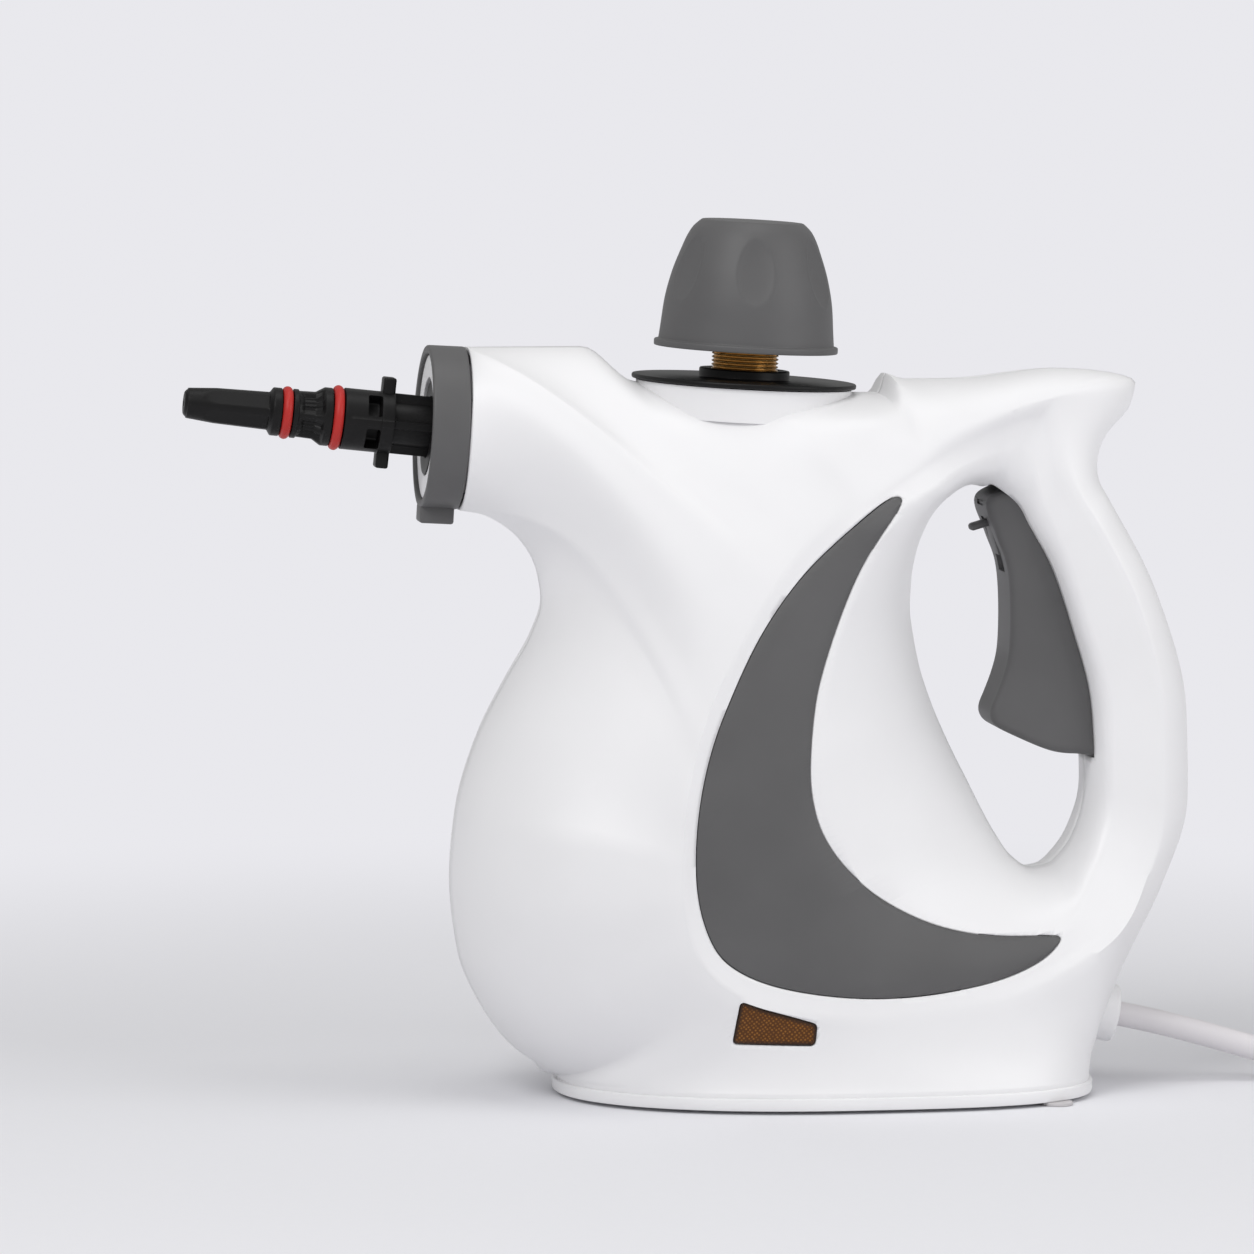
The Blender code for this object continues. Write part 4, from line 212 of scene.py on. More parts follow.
# Shoulder, halfway from the belt to the silhouette: station, x share, z share, half-width share
SHOULDER_SHARES = (
    (0, 0.853, 0.823, 0.259), (0.5, 0.855, 0.862, 0.241), (1, 0.867, 0.902, 0.236),
    (1.5, 0.867, 0.935, 0.236), (2, 0.847, 0.947, 0.241), (2.5, 0.787, 0.947, 0.268),
    (3, 0.693, 0.934, 0.330), (3.5, 0.625, 0.924, 0.402), (3.8, 0.595, 0.926, 0.402),
    (4, 0.580, 0.908, 0.500), (4.5, 0.518, 0.893, 0.598), (5, 0.443, 0.888, 0.598),
    (5.5, 0.354, 0.878, 0.562), (5.8, 0.314, 0.876, 0.536), (6.2, 0.269, 0.868, 0.518),
    (6.6, 0.219, 0.878, 0.473), (7, 0.169, 0.904, 0.421), (7.5, 0.159, 0.888, 0.425),
    (8, 0.159, 0.863, 0.420), (8.5, 0.162, 0.832, 0.398), (9, 0.167, 0.797, 0.375),
    (9.5, 0.172, 0.761, 0.362), (10, 0.177, 0.731, 0.379), (10.4, 0.182, 0.711, 0.407),
    (10.8, 0.189, 0.688, 0.452), (11.2, 0.197, 0.662, 0.500), (11.6, 0.201, 0.637, 0.545),
    (12, 0.197, 0.604, 0.607), (12.5, 0.182, 0.551, 0.684), (13, 0.154, 0.472, 0.777),
    (13.5, 0.135, 0.378, 0.830), (14, 0.130, 0.289, 0.839), (14.5, 0.140, 0.206, 0.816),
    (15, 0.164, 0.137, 0.759), (15.5, 0.202, 0.094, 0.700), (15.9, 0.226, 0.080, 0.690),
    (16.5, 0.285, 0.070, 0.780), (17.5, 0.508, 0.063, 0.857), (18.4, 0.762, 0.071, 0.705),
    (19.1, 0.842, 0.091, 0.509), (19.5, 0.858, 0.122, 0.464), (19.8, 0.885, 0.173, 0.393),
    (20.4, 0.944, 0.264, 0.295), (21, 0.976, 0.373, 0.277), (21.6, 0.974, 0.500, 0.277),
    (22.3, 0.936, 0.653, 0.286), (23, 0.879, 0.766, 0.286),
)

# Belt, the crease that bounds the scoop round the hand opening, and along the grip's ridge
BELT_SHARES = (
    (0, 0.827, 0.807, 0.343), (0.5, 0.812, 0.848, 0.325), (1, 0.809, 0.894, 0.304),
    (1.5, 0.802, 0.927, 0.312), (2, 0.787, 0.925, 0.327), (2.5, 0.752, 0.918, 0.366),
    (3, 0.693, 0.902, 0.429), (3.5, 0.633, 0.880, 0.509), (4, 0.593, 0.859, 0.562),
    (5, 0.503, 0.806, 0.705), (6, 0.433, 0.750, 0.786), (7, 0.381, 0.685, 0.839),
    (8.5, 0.334, 0.604, 0.888), (10, 0.299, 0.531, 0.916), (11.6, 0.277, 0.460, 0.943),
    (13, 0.263, 0.386, 0.968), (14, 0.259, 0.294, 0.970), (15, 0.271, 0.220, 0.955),
    (15.9, 0.304, 0.170, 0.934), (16.5, 0.364, 0.134, 0.911), (17.5, 0.516, 0.111, 0.857),
    (18.4, 0.697, 0.129, 0.759), (19.1, 0.812, 0.173, 0.643), (19.8, 0.882, 0.221, 0.527),
    (20.4, 0.919, 0.274, 0.411), (21, 0.947, 0.365, 0.348), (21.6, 0.947, 0.492, 0.348),
    (22.3, 0.916, 0.638, 0.357), (23, 0.864, 0.746, 0.357),
)

# Inner side of the belt's chamfer, where the scoop starts
SCOOP_SHARES = (
    (0, 0.800, 0.779, 0.334), (0.5, 0.785, 0.820, 0.350), (1, 0.777, 0.865, 0.339),
    (1.5, 0.762, 0.882, 0.348), (2, 0.742, 0.877, 0.371), (2.5, 0.721, 0.871, 0.393),
    (3, 0.678, 0.857, 0.464), (3.5, 0.638, 0.841, 0.536), (4, 0.604, 0.820, 0.607),
    (5, 0.528, 0.787, 0.705), (6, 0.453, 0.730, 0.775), (7, 0.402, 0.673, 0.821),
    (8.5, 0.355, 0.604, 0.864), (10, 0.321, 0.529, 0.893), (11.6, 0.298, 0.463, 0.916),
    (13, 0.283, 0.388, 0.938), (14, 0.278, 0.305, 0.941), (15, 0.290, 0.244, 0.932),
    (15.9, 0.316, 0.199, 0.914), (16.5, 0.369, 0.165, 0.893), (17.5, 0.516, 0.140, 0.845),
    (18.4, 0.683, 0.154, 0.746), (19.1, 0.777, 0.188, 0.643), (19.8, 0.827, 0.234, 0.536),
    (20.4, 0.864, 0.287, 0.420), (21, 0.887, 0.381, 0.330), (21.6, 0.885, 0.508, 0.330),
    (22.3, 0.855, 0.617, 0.334), (23, 0.827, 0.711, 0.334),
)

# Edge of the hand opening: station, x share, z share
OPENING_SHARES = (
    (0, 0.777, 0.736), (1, 0.759, 0.764), (2, 0.732, 0.792), (2.5, 0.715, 0.804), (3, 0.695, 0.807),
    (4, 0.660, 0.793), (5, 0.638, 0.764), (6, 0.625, 0.726), (7, 0.619, 0.685), (8.5, 0.619, 0.645),
    (10, 0.624, 0.607), (11.6, 0.634, 0.561), (13, 0.650, 0.512), (14, 0.675, 0.454),
    (15, 0.699, 0.406), (15.9, 0.720, 0.364), (16.5, 0.736, 0.335), (17.5, 0.760, 0.301),
    (18.4, 0.785, 0.286), (19.1, 0.807, 0.289), (19.8, 0.830, 0.309), (20.4, 0.847, 0.339),
    (21, 0.860, 0.401), (21.6, 0.854, 0.508), (22.3, 0.827, 0.617), (23, 0.800, 0.695),
)

# How square the turn into the hand opening is: 2 is an ellipse
OPENING_FULLNESS = ((0, 2.6), (5, 2.2), (8.5, 2.0), (15, 2.0), (18.4, 2.2), (20.4, 2.6), (22.3, 2.6))

# Crescent panel, from its upper tip down the belt side and back up the inner side
CRESCENT_SHARES = (
    (0.564, 0.806), (0.536, 0.794), (0.480, 0.752), (0.423, 0.700), (0.368, 0.626), (0.327, 0.543),
    (0.303, 0.484), (0.286, 0.418), (0.279, 0.358), (0.279, 0.305), (0.286, 0.259), (0.303, 0.215),
    (0.327, 0.188), (0.368, 0.166), (0.422, 0.151), (0.491, 0.141), (0.560, 0.139), (0.630, 0.145),
    (0.701, 0.158), (0.758, 0.180), (0.786, 0.205), (0.777, 0.215), (0.703, 0.216), (0.632, 0.228),
    (0.576, 0.249), (0.521, 0.282), (0.477, 0.326), (0.450, 0.371), (0.439, 0.418), (0.438, 0.458),
    (0.443, 0.510), (0.453, 0.564), (0.481, 0.643), (0.509, 0.706), (0.538, 0.751), (0.571, 0.795),
)
LAMP_SHARES = (
    (0.339, 0.143), (0.333, 0.081), (0.443, 0.078), (0.445, 0.109), (0.413, 0.119), (0.372, 0.131),
)
TRIGGER_FRONT_SHARES = (
    (0.718, 0.792), (0.729, 0.742), (0.744, 0.701), (0.749, 0.650), (0.748, 0.586), (0.741, 0.552),
    (0.730, 0.522), (0.723, 0.505), (0.723, 0.493), (0.729, 0.483), (0.744, 0.474), (0.790, 0.453),
    (0.816, 0.445), (0.843, 0.443), (0.876, 0.445),
)
TRIGGER_REAR_SHARES = (
    (0.878, 0.520), (0.866, 0.590), (0.846, 0.660), (0.820, 0.720), (0.796, 0.765), (0.790, 0.810),
)
TRIGGER_SLOT_SHARES = (
    (0.700, 0.775), (0.720, 0.812), (0.750, 0.818), (0.812, 0.800), (0.880, 0.660), (0.910, 0.500),
    (0.900, 0.438), (0.830, 0.437), (0.760, 0.600),
)

# Profiles: height share of the cap, radius share of the cap
CAP_PROFILE_SHARES = (
    (1.000, 0.00), (1.000, 0.52), (0.985, 0.575), (0.93, 0.65), (0.74, 0.77), (0.55, 0.857),
    (0.35, 0.914), (0.16, 0.940), (0.055, 0.955), (0.050, 1.00), (0.000, 1.00),
)
# Nozzle: reach share, radius share
NOZZLE_TIP_SHARES = ((1.000, 0.37), (0.988, 0.46), (0.870, 0.55), (0.655, 0.62))
NOZZLE_COLLAR_SHARES = ((0.631, 0.785), (0.585, 0.785))
NOZZLE_NECK_SHARES = (
    (0.537, 0.80), (0.516, 0.80), (0.514, 0.75), (0.445, 0.77), (0.408, 0.95), (0.376, 0.95),
)
NOZZLE_BODY_SHARES = ((0.326, 1.00), (0.173, 1.00), (0.172, 1.17), (0.119, 1.17), (0.118, 0.985))
WINDOW_REACH_SHARES = (0.180, 0.232)

# Camera, light and floor
IMAGE = 1254
SENSOR = 36
PIXEL = 0.000265
CAMERA_DISTANCE = 2.370
CAMERA_TURN = math.radians(-8.3)
CAMERA_RISE = math.radians(5.1)
CAMERA_AIM = Vector((-0.0166, 0, 0.1243))
LAMP_AIM = Vector((0.02, 0, 0.10))
LAMP_SIZE = 0.9
LAMPS = (("key", (-0.9, -1.2, 1.5), 14.4), ("fill", (1.2, -0.9, 0.7), 6.2), ("top", (0.1, -0.15, 1.8), 5.2))
WORLD_LIGHT = 0.44
BACKDROP = (0.815, 0.812, 0.848)
FLOOR = (0.83, 0.83, 0.86)
FLOOR_REACH, FLOOR_RINGS = 2.6, 26
FLOOR_FADE = (0.17, 0.62)

# Finish of the surfaces
BLOTCH_SCALE = 38.0
BLOTCH_BAND = (0.3, 0.7)
GLOSS_BAND = (0.88, 1.15)
GRAIN_DEPTH = 0.00004
LENS_CELL_SCALE = 1150.0
LENS_CELL_TURN = math.radians(38)
LENS_RIM_COLOUR = (0.028, 0.012, 0.005, 1)
LENS_CELL_STOPS = ((0.08, (0.330, 0.128, 0.015, 1)), (0.42, (0.088, 0.030, 0.004, 1)))

# Skin: rows of its grid, and where it is shifted, sunk or softened round the dial
SCAN_STEP = 0.0026
BARREL_SCANS = 40
INNER_ROWS, CHAMFER_ROWS, OUTER_ROWS = 12, 3, 18
SKIN_WALL = 0.0018
SKIN_CREASE = 38
FAR_OUT = BODY_HALF_WIDTH * 2
SIDE_SHIFT = 0.048
SHIFTED_STRETCH = (1.2, 20.6)
NARROWED = 0.45
BELT_WIDTH = 0.006
SCOOP_SUNK = 0.0018
SUNK_STRETCH = (-0.5, 5.4)
FOOT_DROP, FOOT_RIM = 0.0014, 0.008
CALM_STRETCH = (3.2, 4.3)
SOFT_STRETCHES = ((5.0, 13.6, 110), (14.2, 19.0, 30))
SOFT_EASE = 0.5
CRESCENT_PASSES = 6
LAMP_HOLE_ROUNDING = 0.0016
LENS_ROUNDING = 0.0014
LENS_STEP = 0.0008
LENS_LOOPS = (
    (0.0, 0.0012), (0.0, 0.0004), (0.00025, 0.00018), (0.0009, 0.00012), (0.0013, 0.00008), (0.0020, 0.00005),
)
LENS_SHADE_START, LENS_SHADE_WIDTH = 0.0004, 0.0009

# Nozzle: shares of its reach and radius, and what is moulded into it
NOZZLE_FORWARD = 0.0009
NOZZLE_FLARE_HEIGHTS = (0.634, 0.620)
RING_PROUD_SHARE = 1.04
WINDOW_TURN = math.radians(36)
WINDOW_SPAN = 0.0066
WINDOW_FLOOR = NOZZLE_BORE_RADIUS + 0.0002
TIP_SWELL = 0.07
FLAT_TURN, FLAT_HALF_TURN = math.radians(37), math.radians(28)
FLAT_START, FLAT_EASE = 0.20, 0.16
POCKET_TURN, POCKET_HALF_TURN = math.radians(38), math.radians(29)
POCKET_DEPTH, POCKET_EDGE = 0.0011, 0.0006
STREAK_SHARE, STREAK_COUNT = 0.30, 26
TAIL_GROOVE, TAIL_RIB_HALF_TURN = 0.0021, 0.16
SEAM_HEIGHT, SEAM_HALF_TURN = 0.00035, math.radians(7)
LUG_OVERLAP = 0.0008
EDGE_ROUNDING = 0.0006
O_RING_SIDES = 20

# Cap, trigger, foot and plug
DIMPLE_MIDDLE_SHARE = 0.625
CAP_TOP_SHARES = ((1.0, 0.546), (0.989, 0.568))
CAP_LEVELS = 60
THREAD_POINTS, THREAD_DEPTH, THREAD_RUNOUT = 12, 0.00030, 0.0008
TRIGGER_EDGE = 0.0024
TRIGGER_EDGE_STEPS = 6
FOOT_SHOWN = 0.75
BASE_SIDES = 96
BASE_EDGE = 0.0005
CORD_SHOWN_FROM = 5
PLUG_RIB_DEPTH, PLUG_RIB_PITCH = 0.0007, 0.0036


def smooth(knots, values, at):
    """Value at a place on the curve through the values that never swings past them."""
    last = len(knots) - 1
    steps = [knots[i + 1] - knots[i] for i in range(last)]
    rises = [(values[i + 1] - values[i]) / steps[i] for i in range(last)]
    left = next(i for i in range(last) if at <= knots[i + 1] or i == last - 1)

    def end_slope(near_step, far_step, near_rise, far_rise):
        slope = ((2 * near_step + far_step) * near_rise - near_step * far_rise) / (near_step + far_step)
        if slope * near_rise <= 0:
            return 0.0
        if near_rise * far_rise <= 0 and abs(slope) > 3 * abs(near_rise):
            return 3 * near_rise
        return slope

    def slope(i):
        if i == 0:
            return end_slope(steps[0], steps[1], rises[0], rises[1])
        if i == last:
            return end_slope(steps[-1], steps[-2], rises[-1], rises[-2])
        if rises[i - 1] * rises[i] <= 0:
            return 0.0
        before, after = 2 * steps[i] + steps[i - 1], steps[i] + 2 * steps[i - 1]
        return (before + after) / (before / rises[i - 1] + after / rises[i])

    part = (at - knots[left]) / steps[left]
    start, end = values[left], values[left + 1]
    pull_start, pull_end = slope(left) * steps[left], slope(left + 1) * steps[left]
    return (
        start * (1 + 2 * part) * (1 - part) ** 2
        + pull_start * part * (1 - part) ** 2
        + end * part**2 * (3 - 2 * part)
        - pull_end * part**2 * (1 - part)
    )


def read_dial(rows, station):
    """Every column of a table of stations, read on a smooth closed curve round the dial."""
    wrapped = [(row[0] + lap * DIAL, *row[1:]) for lap in (-1, 0, 1) for row in rows]
    knots = [row[0] for row in wrapped]
    return [smooth(knots, [row[i] for row in wrapped], station) for i in range(1, len(rows[0]))]


def body_x(share):
    """World x of a share of the body's length, from the belly to the handle."""
    return BELLY_FRONT_X + share * BODY_LENGTH


def body_z(share):
    """World z of a share of the body's height, above the skirt round its foot."""
    return SKIRT_HEIGHT + share * BODY_HEIGHT


def in_body(x_share, z_share, width_share=0.0):
    """World place of a point given as shares of the body."""
    return Vector((body_x(x_share), width_share * BODY_HALF_WIDTH, body_z(z_share)))


def outline(shares):
    """World outline, in x and z, of a table of shares."""
    return [tuple(in_body(*row).xz) for row in shares]


BARREL_AXIS = Vector((-math.cos(BARREL_TILT), 0, math.sin(BARREL_TILT)))
BARREL_UP = Vector((math.sin(BARREL_TILT), 0, math.cos(BARREL_TILT)))
RING_CENTRE = in_body(*RING_CENTRE_SHARE)
BARREL_END = RING_CENTRE - BARREL_AXIS * (RING_LENGTH + CLEARANCE)
BODY_BOTTOM = FOOT_HEIGHT + BASE_THICKNESS + CLEARANCE
BARREL = Matrix.Translation(RING_CENTRE) @ Matrix.Rotation(BARREL_TILT - math.pi / 2, 4, "Y")
NOZZLE = Matrix.Translation(RING_CENTRE) @ Matrix.Rotation(NOZZLE_TILT - math.pi / 2, 4, "Y")
FILLER = Matrix.Translation(in_body(*FILLER_SHARE)) @ Matrix.Rotation(FILLER_TILT, 4, "Y")
CORD_EXIT = Matrix.Translation(in_body(*CORD_EXIT_SHARE)) @ Matrix.Rotation(math.pi / 2 + CORD_SLOPE, 4, "Y")


def base_point(turn, outset=0.0):
    """Point on the outline of the foot: turn runs from 0 at the front tip to 1 at the rear."""
    angle = math.pi * turn
    front, middle, rear = map(body_x, (BASE_FRONT_SHARE, BASE_MIDDLE_SHARE, BASE_REAR_SHARE))
    length, roundness = (
        (middle - front, BASE_FRONT_ROUNDNESS) if turn < 0.5 else (rear - middle, BASE_REAR_ROUNDNESS)
    )
    across = abs(math.cos(angle)) ** (2 / roundness) * (length + outset)
    return (
        middle - math.copysign(across, math.cos(angle)),
        math.sin(angle) ** (2 / roundness) * (BASE_HALF_WIDTH + outset) if 0 < turn < 1 else 0.0,
    )


def silhouette(station):
    """Outer end of a station's line: on the mid-plane, or on the rim of the barrel or of the foot."""
    first, last = BARREL_STATIONS
    if first <= station <= last:
        angle = math.pi * (station - first) / (last - first)
        point = BARREL_END + BARREL_UP * (BARREL_RADIUS * math.cos(angle))
        return Vector((point.x, BARREL_RADIUS * abs(math.sin(angle)), point.z))
    first, last = BASE_STATIONS
    if first <= station <= last:
        x, y = base_point((station - first) / (last - first))
        return Vector((x, y, BODY_BOTTOM + SKIRT_HEIGHT))
    corners = [(end, *silhouette(end).xz) for end in (*BARREL_STATIONS, *BASE_STATIONS)]
    rows = [(row[0], body_x(row[1]), body_z(row[2])) for row in SILHOUETTE_SHARES]
    x, z = read_dial(sorted(rows + corners), station)
    return Vector((x, 0, z))


def section(station):
    """Points of one line across the side of the body, from the hand opening to the silhouette."""
    opening, scoop, belt, shoulder = (
        in_body(*read_dial(table, station))
        for table in (OPENING_SHARES, SCOOP_SHARES, BELT_SHARES, SHOULDER_SHARES)
    )
    outer = silhouette(station)
    (fullness,) = read_dial(OPENING_FULLNESS, station)
    points = [Vector((opening.x, 0, opening.z))]
    for i in range(1, INNER_ROWS + 1):
        angle = math.pi / 2 * i / INNER_ROWS
        across = 1 - max(math.cos(angle), 0) ** (2 / fullness)
        flat = opening.lerp(scoop, across)
        points.append(Vector((flat.x, scoop.y * math.sin(angle) ** (2 / fullness), flat.z)))
    points.append(belt)
    pull = 2 * shoulder - (belt + outer) / 2
    squares = (belt.y**2, shoulder.y**2, outer.y**2)
    for i in range(1, OUTER_ROWS + 1):
        part = math.sin(math.pi / 2 * i / OUTER_ROWS)
        flat = belt * (1 - part) ** 2 + pull * (2 * part * (1 - part)) + outer * part**2
        square = max(smooth((0, 0.5, 1), squares, part), 0)
        points.append(Vector((flat.x, math.sqrt(square), flat.z)))
    points[-1] = outer
    return points


# Materials
def fill(node, **values):
    """Node with its inputs set; underscores in their names stand for blanks."""
    for name, value in values.items():
        node.inputs[name.replace("_", " ")].default_value = value
    return node


def add(tree, kind, settings=None, **values):
    """New shader node with its settings and inputs."""
    node = tree.nodes.new("ShaderNode" + kind)
    for name, value in (settings or {}).items():
        setattr(node, name, value)
    return fill(node, **values)


def join(tree, *links):
    """Links, each given as a node, its output, the next node and its input."""
    for source, output, target, entry in links:
        tree.links.new(source.outputs[output], target.inputs[entry])


def blank(name):
    """New node material, with its tree and its shader."""
    made = bpy.data.materials.new(name)
    made.use_nodes = True
    return made, made.node_tree, made.node_tree.nodes["Principled BSDF"]


def set_stops(ramp, stops):
    """Positions and colours of a ramp's two stops."""
    for element, (position, colour) in zip(ramp.color_ramp.elements, stops):
        element.position, element.color = position, colour


def plain(name, colour, roughness, spread=0.03, grain=0.12, grain_size=4500.0, metallic=0.0, shine=0.5):
    """Moulded or machined surface: slight blotches in tone and gloss, and a fine grain."""
    made, tree, shader = blank(name)
    fill(shader, Metallic=metallic, Specular_IOR_Level=shine)
    place = add(tree, "TexCoord")
    blotch = add(tree, "TexNoise", Scale=BLOTCH_SCALE, Detail=3.0)
    tone = add(tree, "ValToRGB")
    tints = [(*[min(c * (1 + change), 1) for c in colour], 1) for change in (-spread, spread)]
    set_stops(tone, zip(BLOTCH_BAND, tints))
    least, most = (roughness * share for share in GLOSS_BAND)
    gloss = add(tree, "MapRange", To_Min=least, To_Max=min(most, 1))
    fine = add(tree, "TexNoise", Scale=grain_size, Detail=2.0)
    bump = add(tree, "Bump", Strength=grain, Distance=GRAIN_DEPTH)
    join(tree, (place, "Object", blotch, "Vector"), (blotch, "Fac", tone, "Fac"),
         (tone, "Color", shader, "Base Color"), (blotch, "Fac", gloss, "Value"),
         (gloss, "Result", shader, "Roughness"), (place, "Object", fine, "Vector"),
         (fine, "Fac", bump, "Height"), (bump, "Normal", shader, "Normal"))
    return made


def lens_material():
    """Amber window with a fine raised diamond pattern on its inside, darker towards its rim."""
    made = plain("amber_lens", LENS_RIM_COLOUR[:3], 0.32, 0.10, 0.08, shine=0.25)
    tree = made.node_tree
    place = add(tree, "TexCoord")
    turn = add(tree, "Mapping", Rotation=(0, LENS_CELL_TURN, 0), Scale=(1, 0, 1))
    cells = add(tree, "TexVoronoi", Scale=LENS_CELL_SCALE, Randomness=0.25)
    ramp = add(tree, "ValToRGB")
    set_stops(ramp, LENS_CELL_STOPS)
    rim = add(tree, "Attribute", {"attribute_name": "inside"})
    mix = add(tree, "Mix", {"data_type": "RGBA"}, A=LENS_RIM_COLOUR)
    join(tree, (place, "Object", turn, "Vector"), (turn, "Vector", cells, "Vector"),
         (cells, "Distance", ramp, "Fac"), (rim, "Fac", mix, "Factor"), (ramp, "Color", mix, "B"),
         (mix, "Result", tree.nodes["Principled BSDF"], "Base Color"))
    return made


def floor_material():
    """Pale paper floor that fades into the backdrop with distance."""
    made, tree, shader = blank("studio_paper")
    fill(shader, Roughness=0.9, Specular_IOR_Level=0.1)
    place = add(tree, "TexCoord")
    noise = add(tree, "TexNoise", Scale=300.0)
    tone = add(tree, "Mix", {"data_type": "RGBA"}, A=(*[c * 0.985 for c in FLOOR], 1), B=(*FLOOR, 1))
    glow = add(tree, "Emission", Color=(*BACKDROP, 1))
    far = add(tree, "VectorMath", {"operation": "LENGTH"})
    fade = add(tree, "MapRange", {"interpolation_type": "SMOOTHSTEP"},
               From_Min=FLOOR_FADE[0], From_Max=FLOOR_FADE[1])
    blend = add(tree, "MixShader")
    join(tree, (place, "Object", noise, "Vector"), (noise, "Fac", tone, "Factor"),
         (tone, "Result", shader, "Base Color"), (place, "Object", far, 0), (far, "Value", fade, "Value"),
         (fade, "Result", blend, "Fac"), (shader, "BSDF", blend, 1), (glow, "Emission", blend, 2),
         (blend, "Shader", tree.nodes["Material Output"], "Surface"))
    return made


PAINTS = {
    "white_plastic": plain("white_abs", (0.866, 0.862, 0.873), 0.42, 0.010, 0.08),
    "grey_plastic": plain("dark_grey_abs", (0.106, 0.105, 0.1065), 0.50, 0.06, 0.35, 2600.0, shine=0.40),
    "black_plastic": plain("black_nylon", (0.0070, 0.0068, 0.0070), 0.40, 0.12, 0.20, 3000.0, shine=0.20),
    "amber_lens": lens_material(),
    "lamp_glass": plain("lamp_glass", (0.75, 0.35, 0.12), 0.12, 0.05, 0.05),
    "red_rubber": plain("red_silicone", (0.47, 0.022, 0.018), 0.45, 0.08, 0.15, shine=0.35),
    "black_rubber": plain("black_rubber", (0.030, 0.030, 0.032), 0.75, 0.10, 0.40),
    "brass": plain("brass", (0.66, 0.42, 0.17), 0.20, 0.04, 0.02, 2200.0, 1.0),
    "steel": plain("plated_steel", (0.55, 0.55, 0.56), 0.30, 0.06, 0.10, 2200.0, 1.0),
    "aluminium": plain("cast_aluminium", (0.55, 0.55, 0.56), 0.48, 0.06, 0.50, 1500.0, 1.0),
    "cord_white": plain("cord_pvc", (0.74, 0.715, 0.735), 0.42, 0.02, 0.25, 1800.0),
}
WHITE = PAINTS["white_plastic"]
PALE_RUBBER = plain("pale_rubber", (0.55, 0.53, 0.54), 0.70, 0.04, 0.30)
CUT = bpy.data.materials.new("cut_wall")


# Mesh helpers
def placed(name, data):
    """Object of a mesh, curve, lamp or camera, in the scene."""
    obj = bpy.data.objects.new(name, data)
    scene.collection.objects.link(obj)
    return obj


def mesh_from(bm, name, *paints):
    """Mesh of a bmesh, with its faces turned outwards."""
    bmesh.ops.recalc_face_normals(bm, faces=bm.faces[:])
    mesh = bpy.data.meshes.new(name)
    bm.to_mesh(mesh)
    bm.free()
    for paint in paints:
        mesh.materials.append(paint)
    return mesh


def piece(node, made, slot, body="body", name=None, paint=None, angle=35.0):
    """Object in the row frame that rides on a body and stands for a CAD node."""
    mesh = mesh_from(made, node) if isinstance(made, bmesh.types.BMesh) else made
    mesh.materials.clear()
    mesh.materials.append(paint or PAINTS[slot])
    mesh.polygons.foreach_set("material_index", [0] * len(mesh.polygons))
    mesh.shade_smooth()
    mesh.set_sharp_from_angle(angle=math.radians(angle))
    obj = placed(name or node + "_skin", mesh)
    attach(obj, body)
    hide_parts(node)
    return obj


def rounded(points, radius, closed=True, arc=3):
    """Polyline with each corner replaced by a small arc."""
    count = len(points)
    out = []
    for i, here in enumerate(points):
        if not closed and i in (0, count - 1):
            out.append(tuple(here))
            continue
        here = Vector(here)
        before, after = Vector(points[i - 1]), Vector(points[(i + 1) % count])
        back, ahead = before - here, after - here
        reach = min(radius, back.length * 0.45, ahead.length * 0.45)
        if reach < 1e-6 or abs(back.angle(ahead, 0) - math.pi) < 0.12:
            out.append(tuple(here))
            continue
        start, end = here + back.normalized() * reach, here + ahead.normalized() * reach
        for step in range(arc + 1):
            t = step / arc
            out.append(tuple(start * (1 - t) ** 2 + here * (2 * t * (1 - t)) + end * t**2))
    return out


def refined(points, longest, closed=True):
    """Polyline with no step longer than the longest."""
    out = []
    last = len(points) if closed else len(points) - 1
    for i in range(last):
        a, b = Vector(points[i]), Vector(points[(i + 1) % len(points)])
        steps = max(1, math.ceil((b - a).length / longest))
        out += [tuple(a.lerp(b, k / steps)) for k in range(steps)]
    if not closed:
        out.append(tuple(points[-1]))
    return out


def between(a, b, c, d, t):
    """Point between b and c on the smooth curve through four points."""
    return 0.5 * (2 * b + (c - a) * t + (2 * a - 5 * b + 4 * c - d) * t**2 + (3 * b - a - 3 * c + d) * t**3)


def closed_curve(points, per=6):
    """Smooth closed outline through the points."""
    out = []
    for i in range(len(points)):
        four = [Vector(points[(i + k) % len(points)]) for k in (-1, 0, 1, 2)]
        out += [tuple(between(*four, step / per)) for step in range(per)]
    return out


def neighbours(points):
    """Each point of a closed outline, with the one before and the one after it."""
    return zip(points[-1:] + points[:-1], points, points[1:] + points[:1])


def softened(points, passes):
    """Closed outline with its corners eased."""
    for _ in range(passes):
        points = [tuple((Vector(a) + 2 * Vector(b) + Vector(c)) / 4) for a, b, c in neighbours(points)]
    return points


def grown_outline(points, outset):
    """Closed outline moved outwards by an outset."""
    area = sum(a[0] * b[1] - a[1] * b[0] for a, b in zip(points, points[1:] + points[:1]))
    out = []
    for before, here, after in neighbours(points):
        run = (Vector(after) - Vector(before)).normalized()
        side = Vector((run.y, -run.x)) * math.copysign(1, area)
        out.append(tuple(Vector(here) + side * outset))
    return out


def bridge(bm, rings, closed=False):
    """Faces between one ring of vertices and the next; a ring may be one vertex repeated."""
    for here, there in zip(rings, rings[1:] + rings[:1] if closed else rings[1:]):
        for i in range(len(here)):
            j = (i + 1) % len(here)
            corners = [here[i], there[i], there[j], here[j]]
            corners = [c for k, c in enumerate(corners) if c not in corners[:k]]
            if len(corners) > 2:
                bm.faces.new(corners)


def stacked(rings):
    """Closed solid through rings of points."""
    bm = bmesh.new()
    made = [[bm.verts.new(point) for point in ring] for ring in rings]
    bridge(bm, made)
    bm.faces.new(made[0])
    bm.faces.new(made[-1][::-1])
    return bm


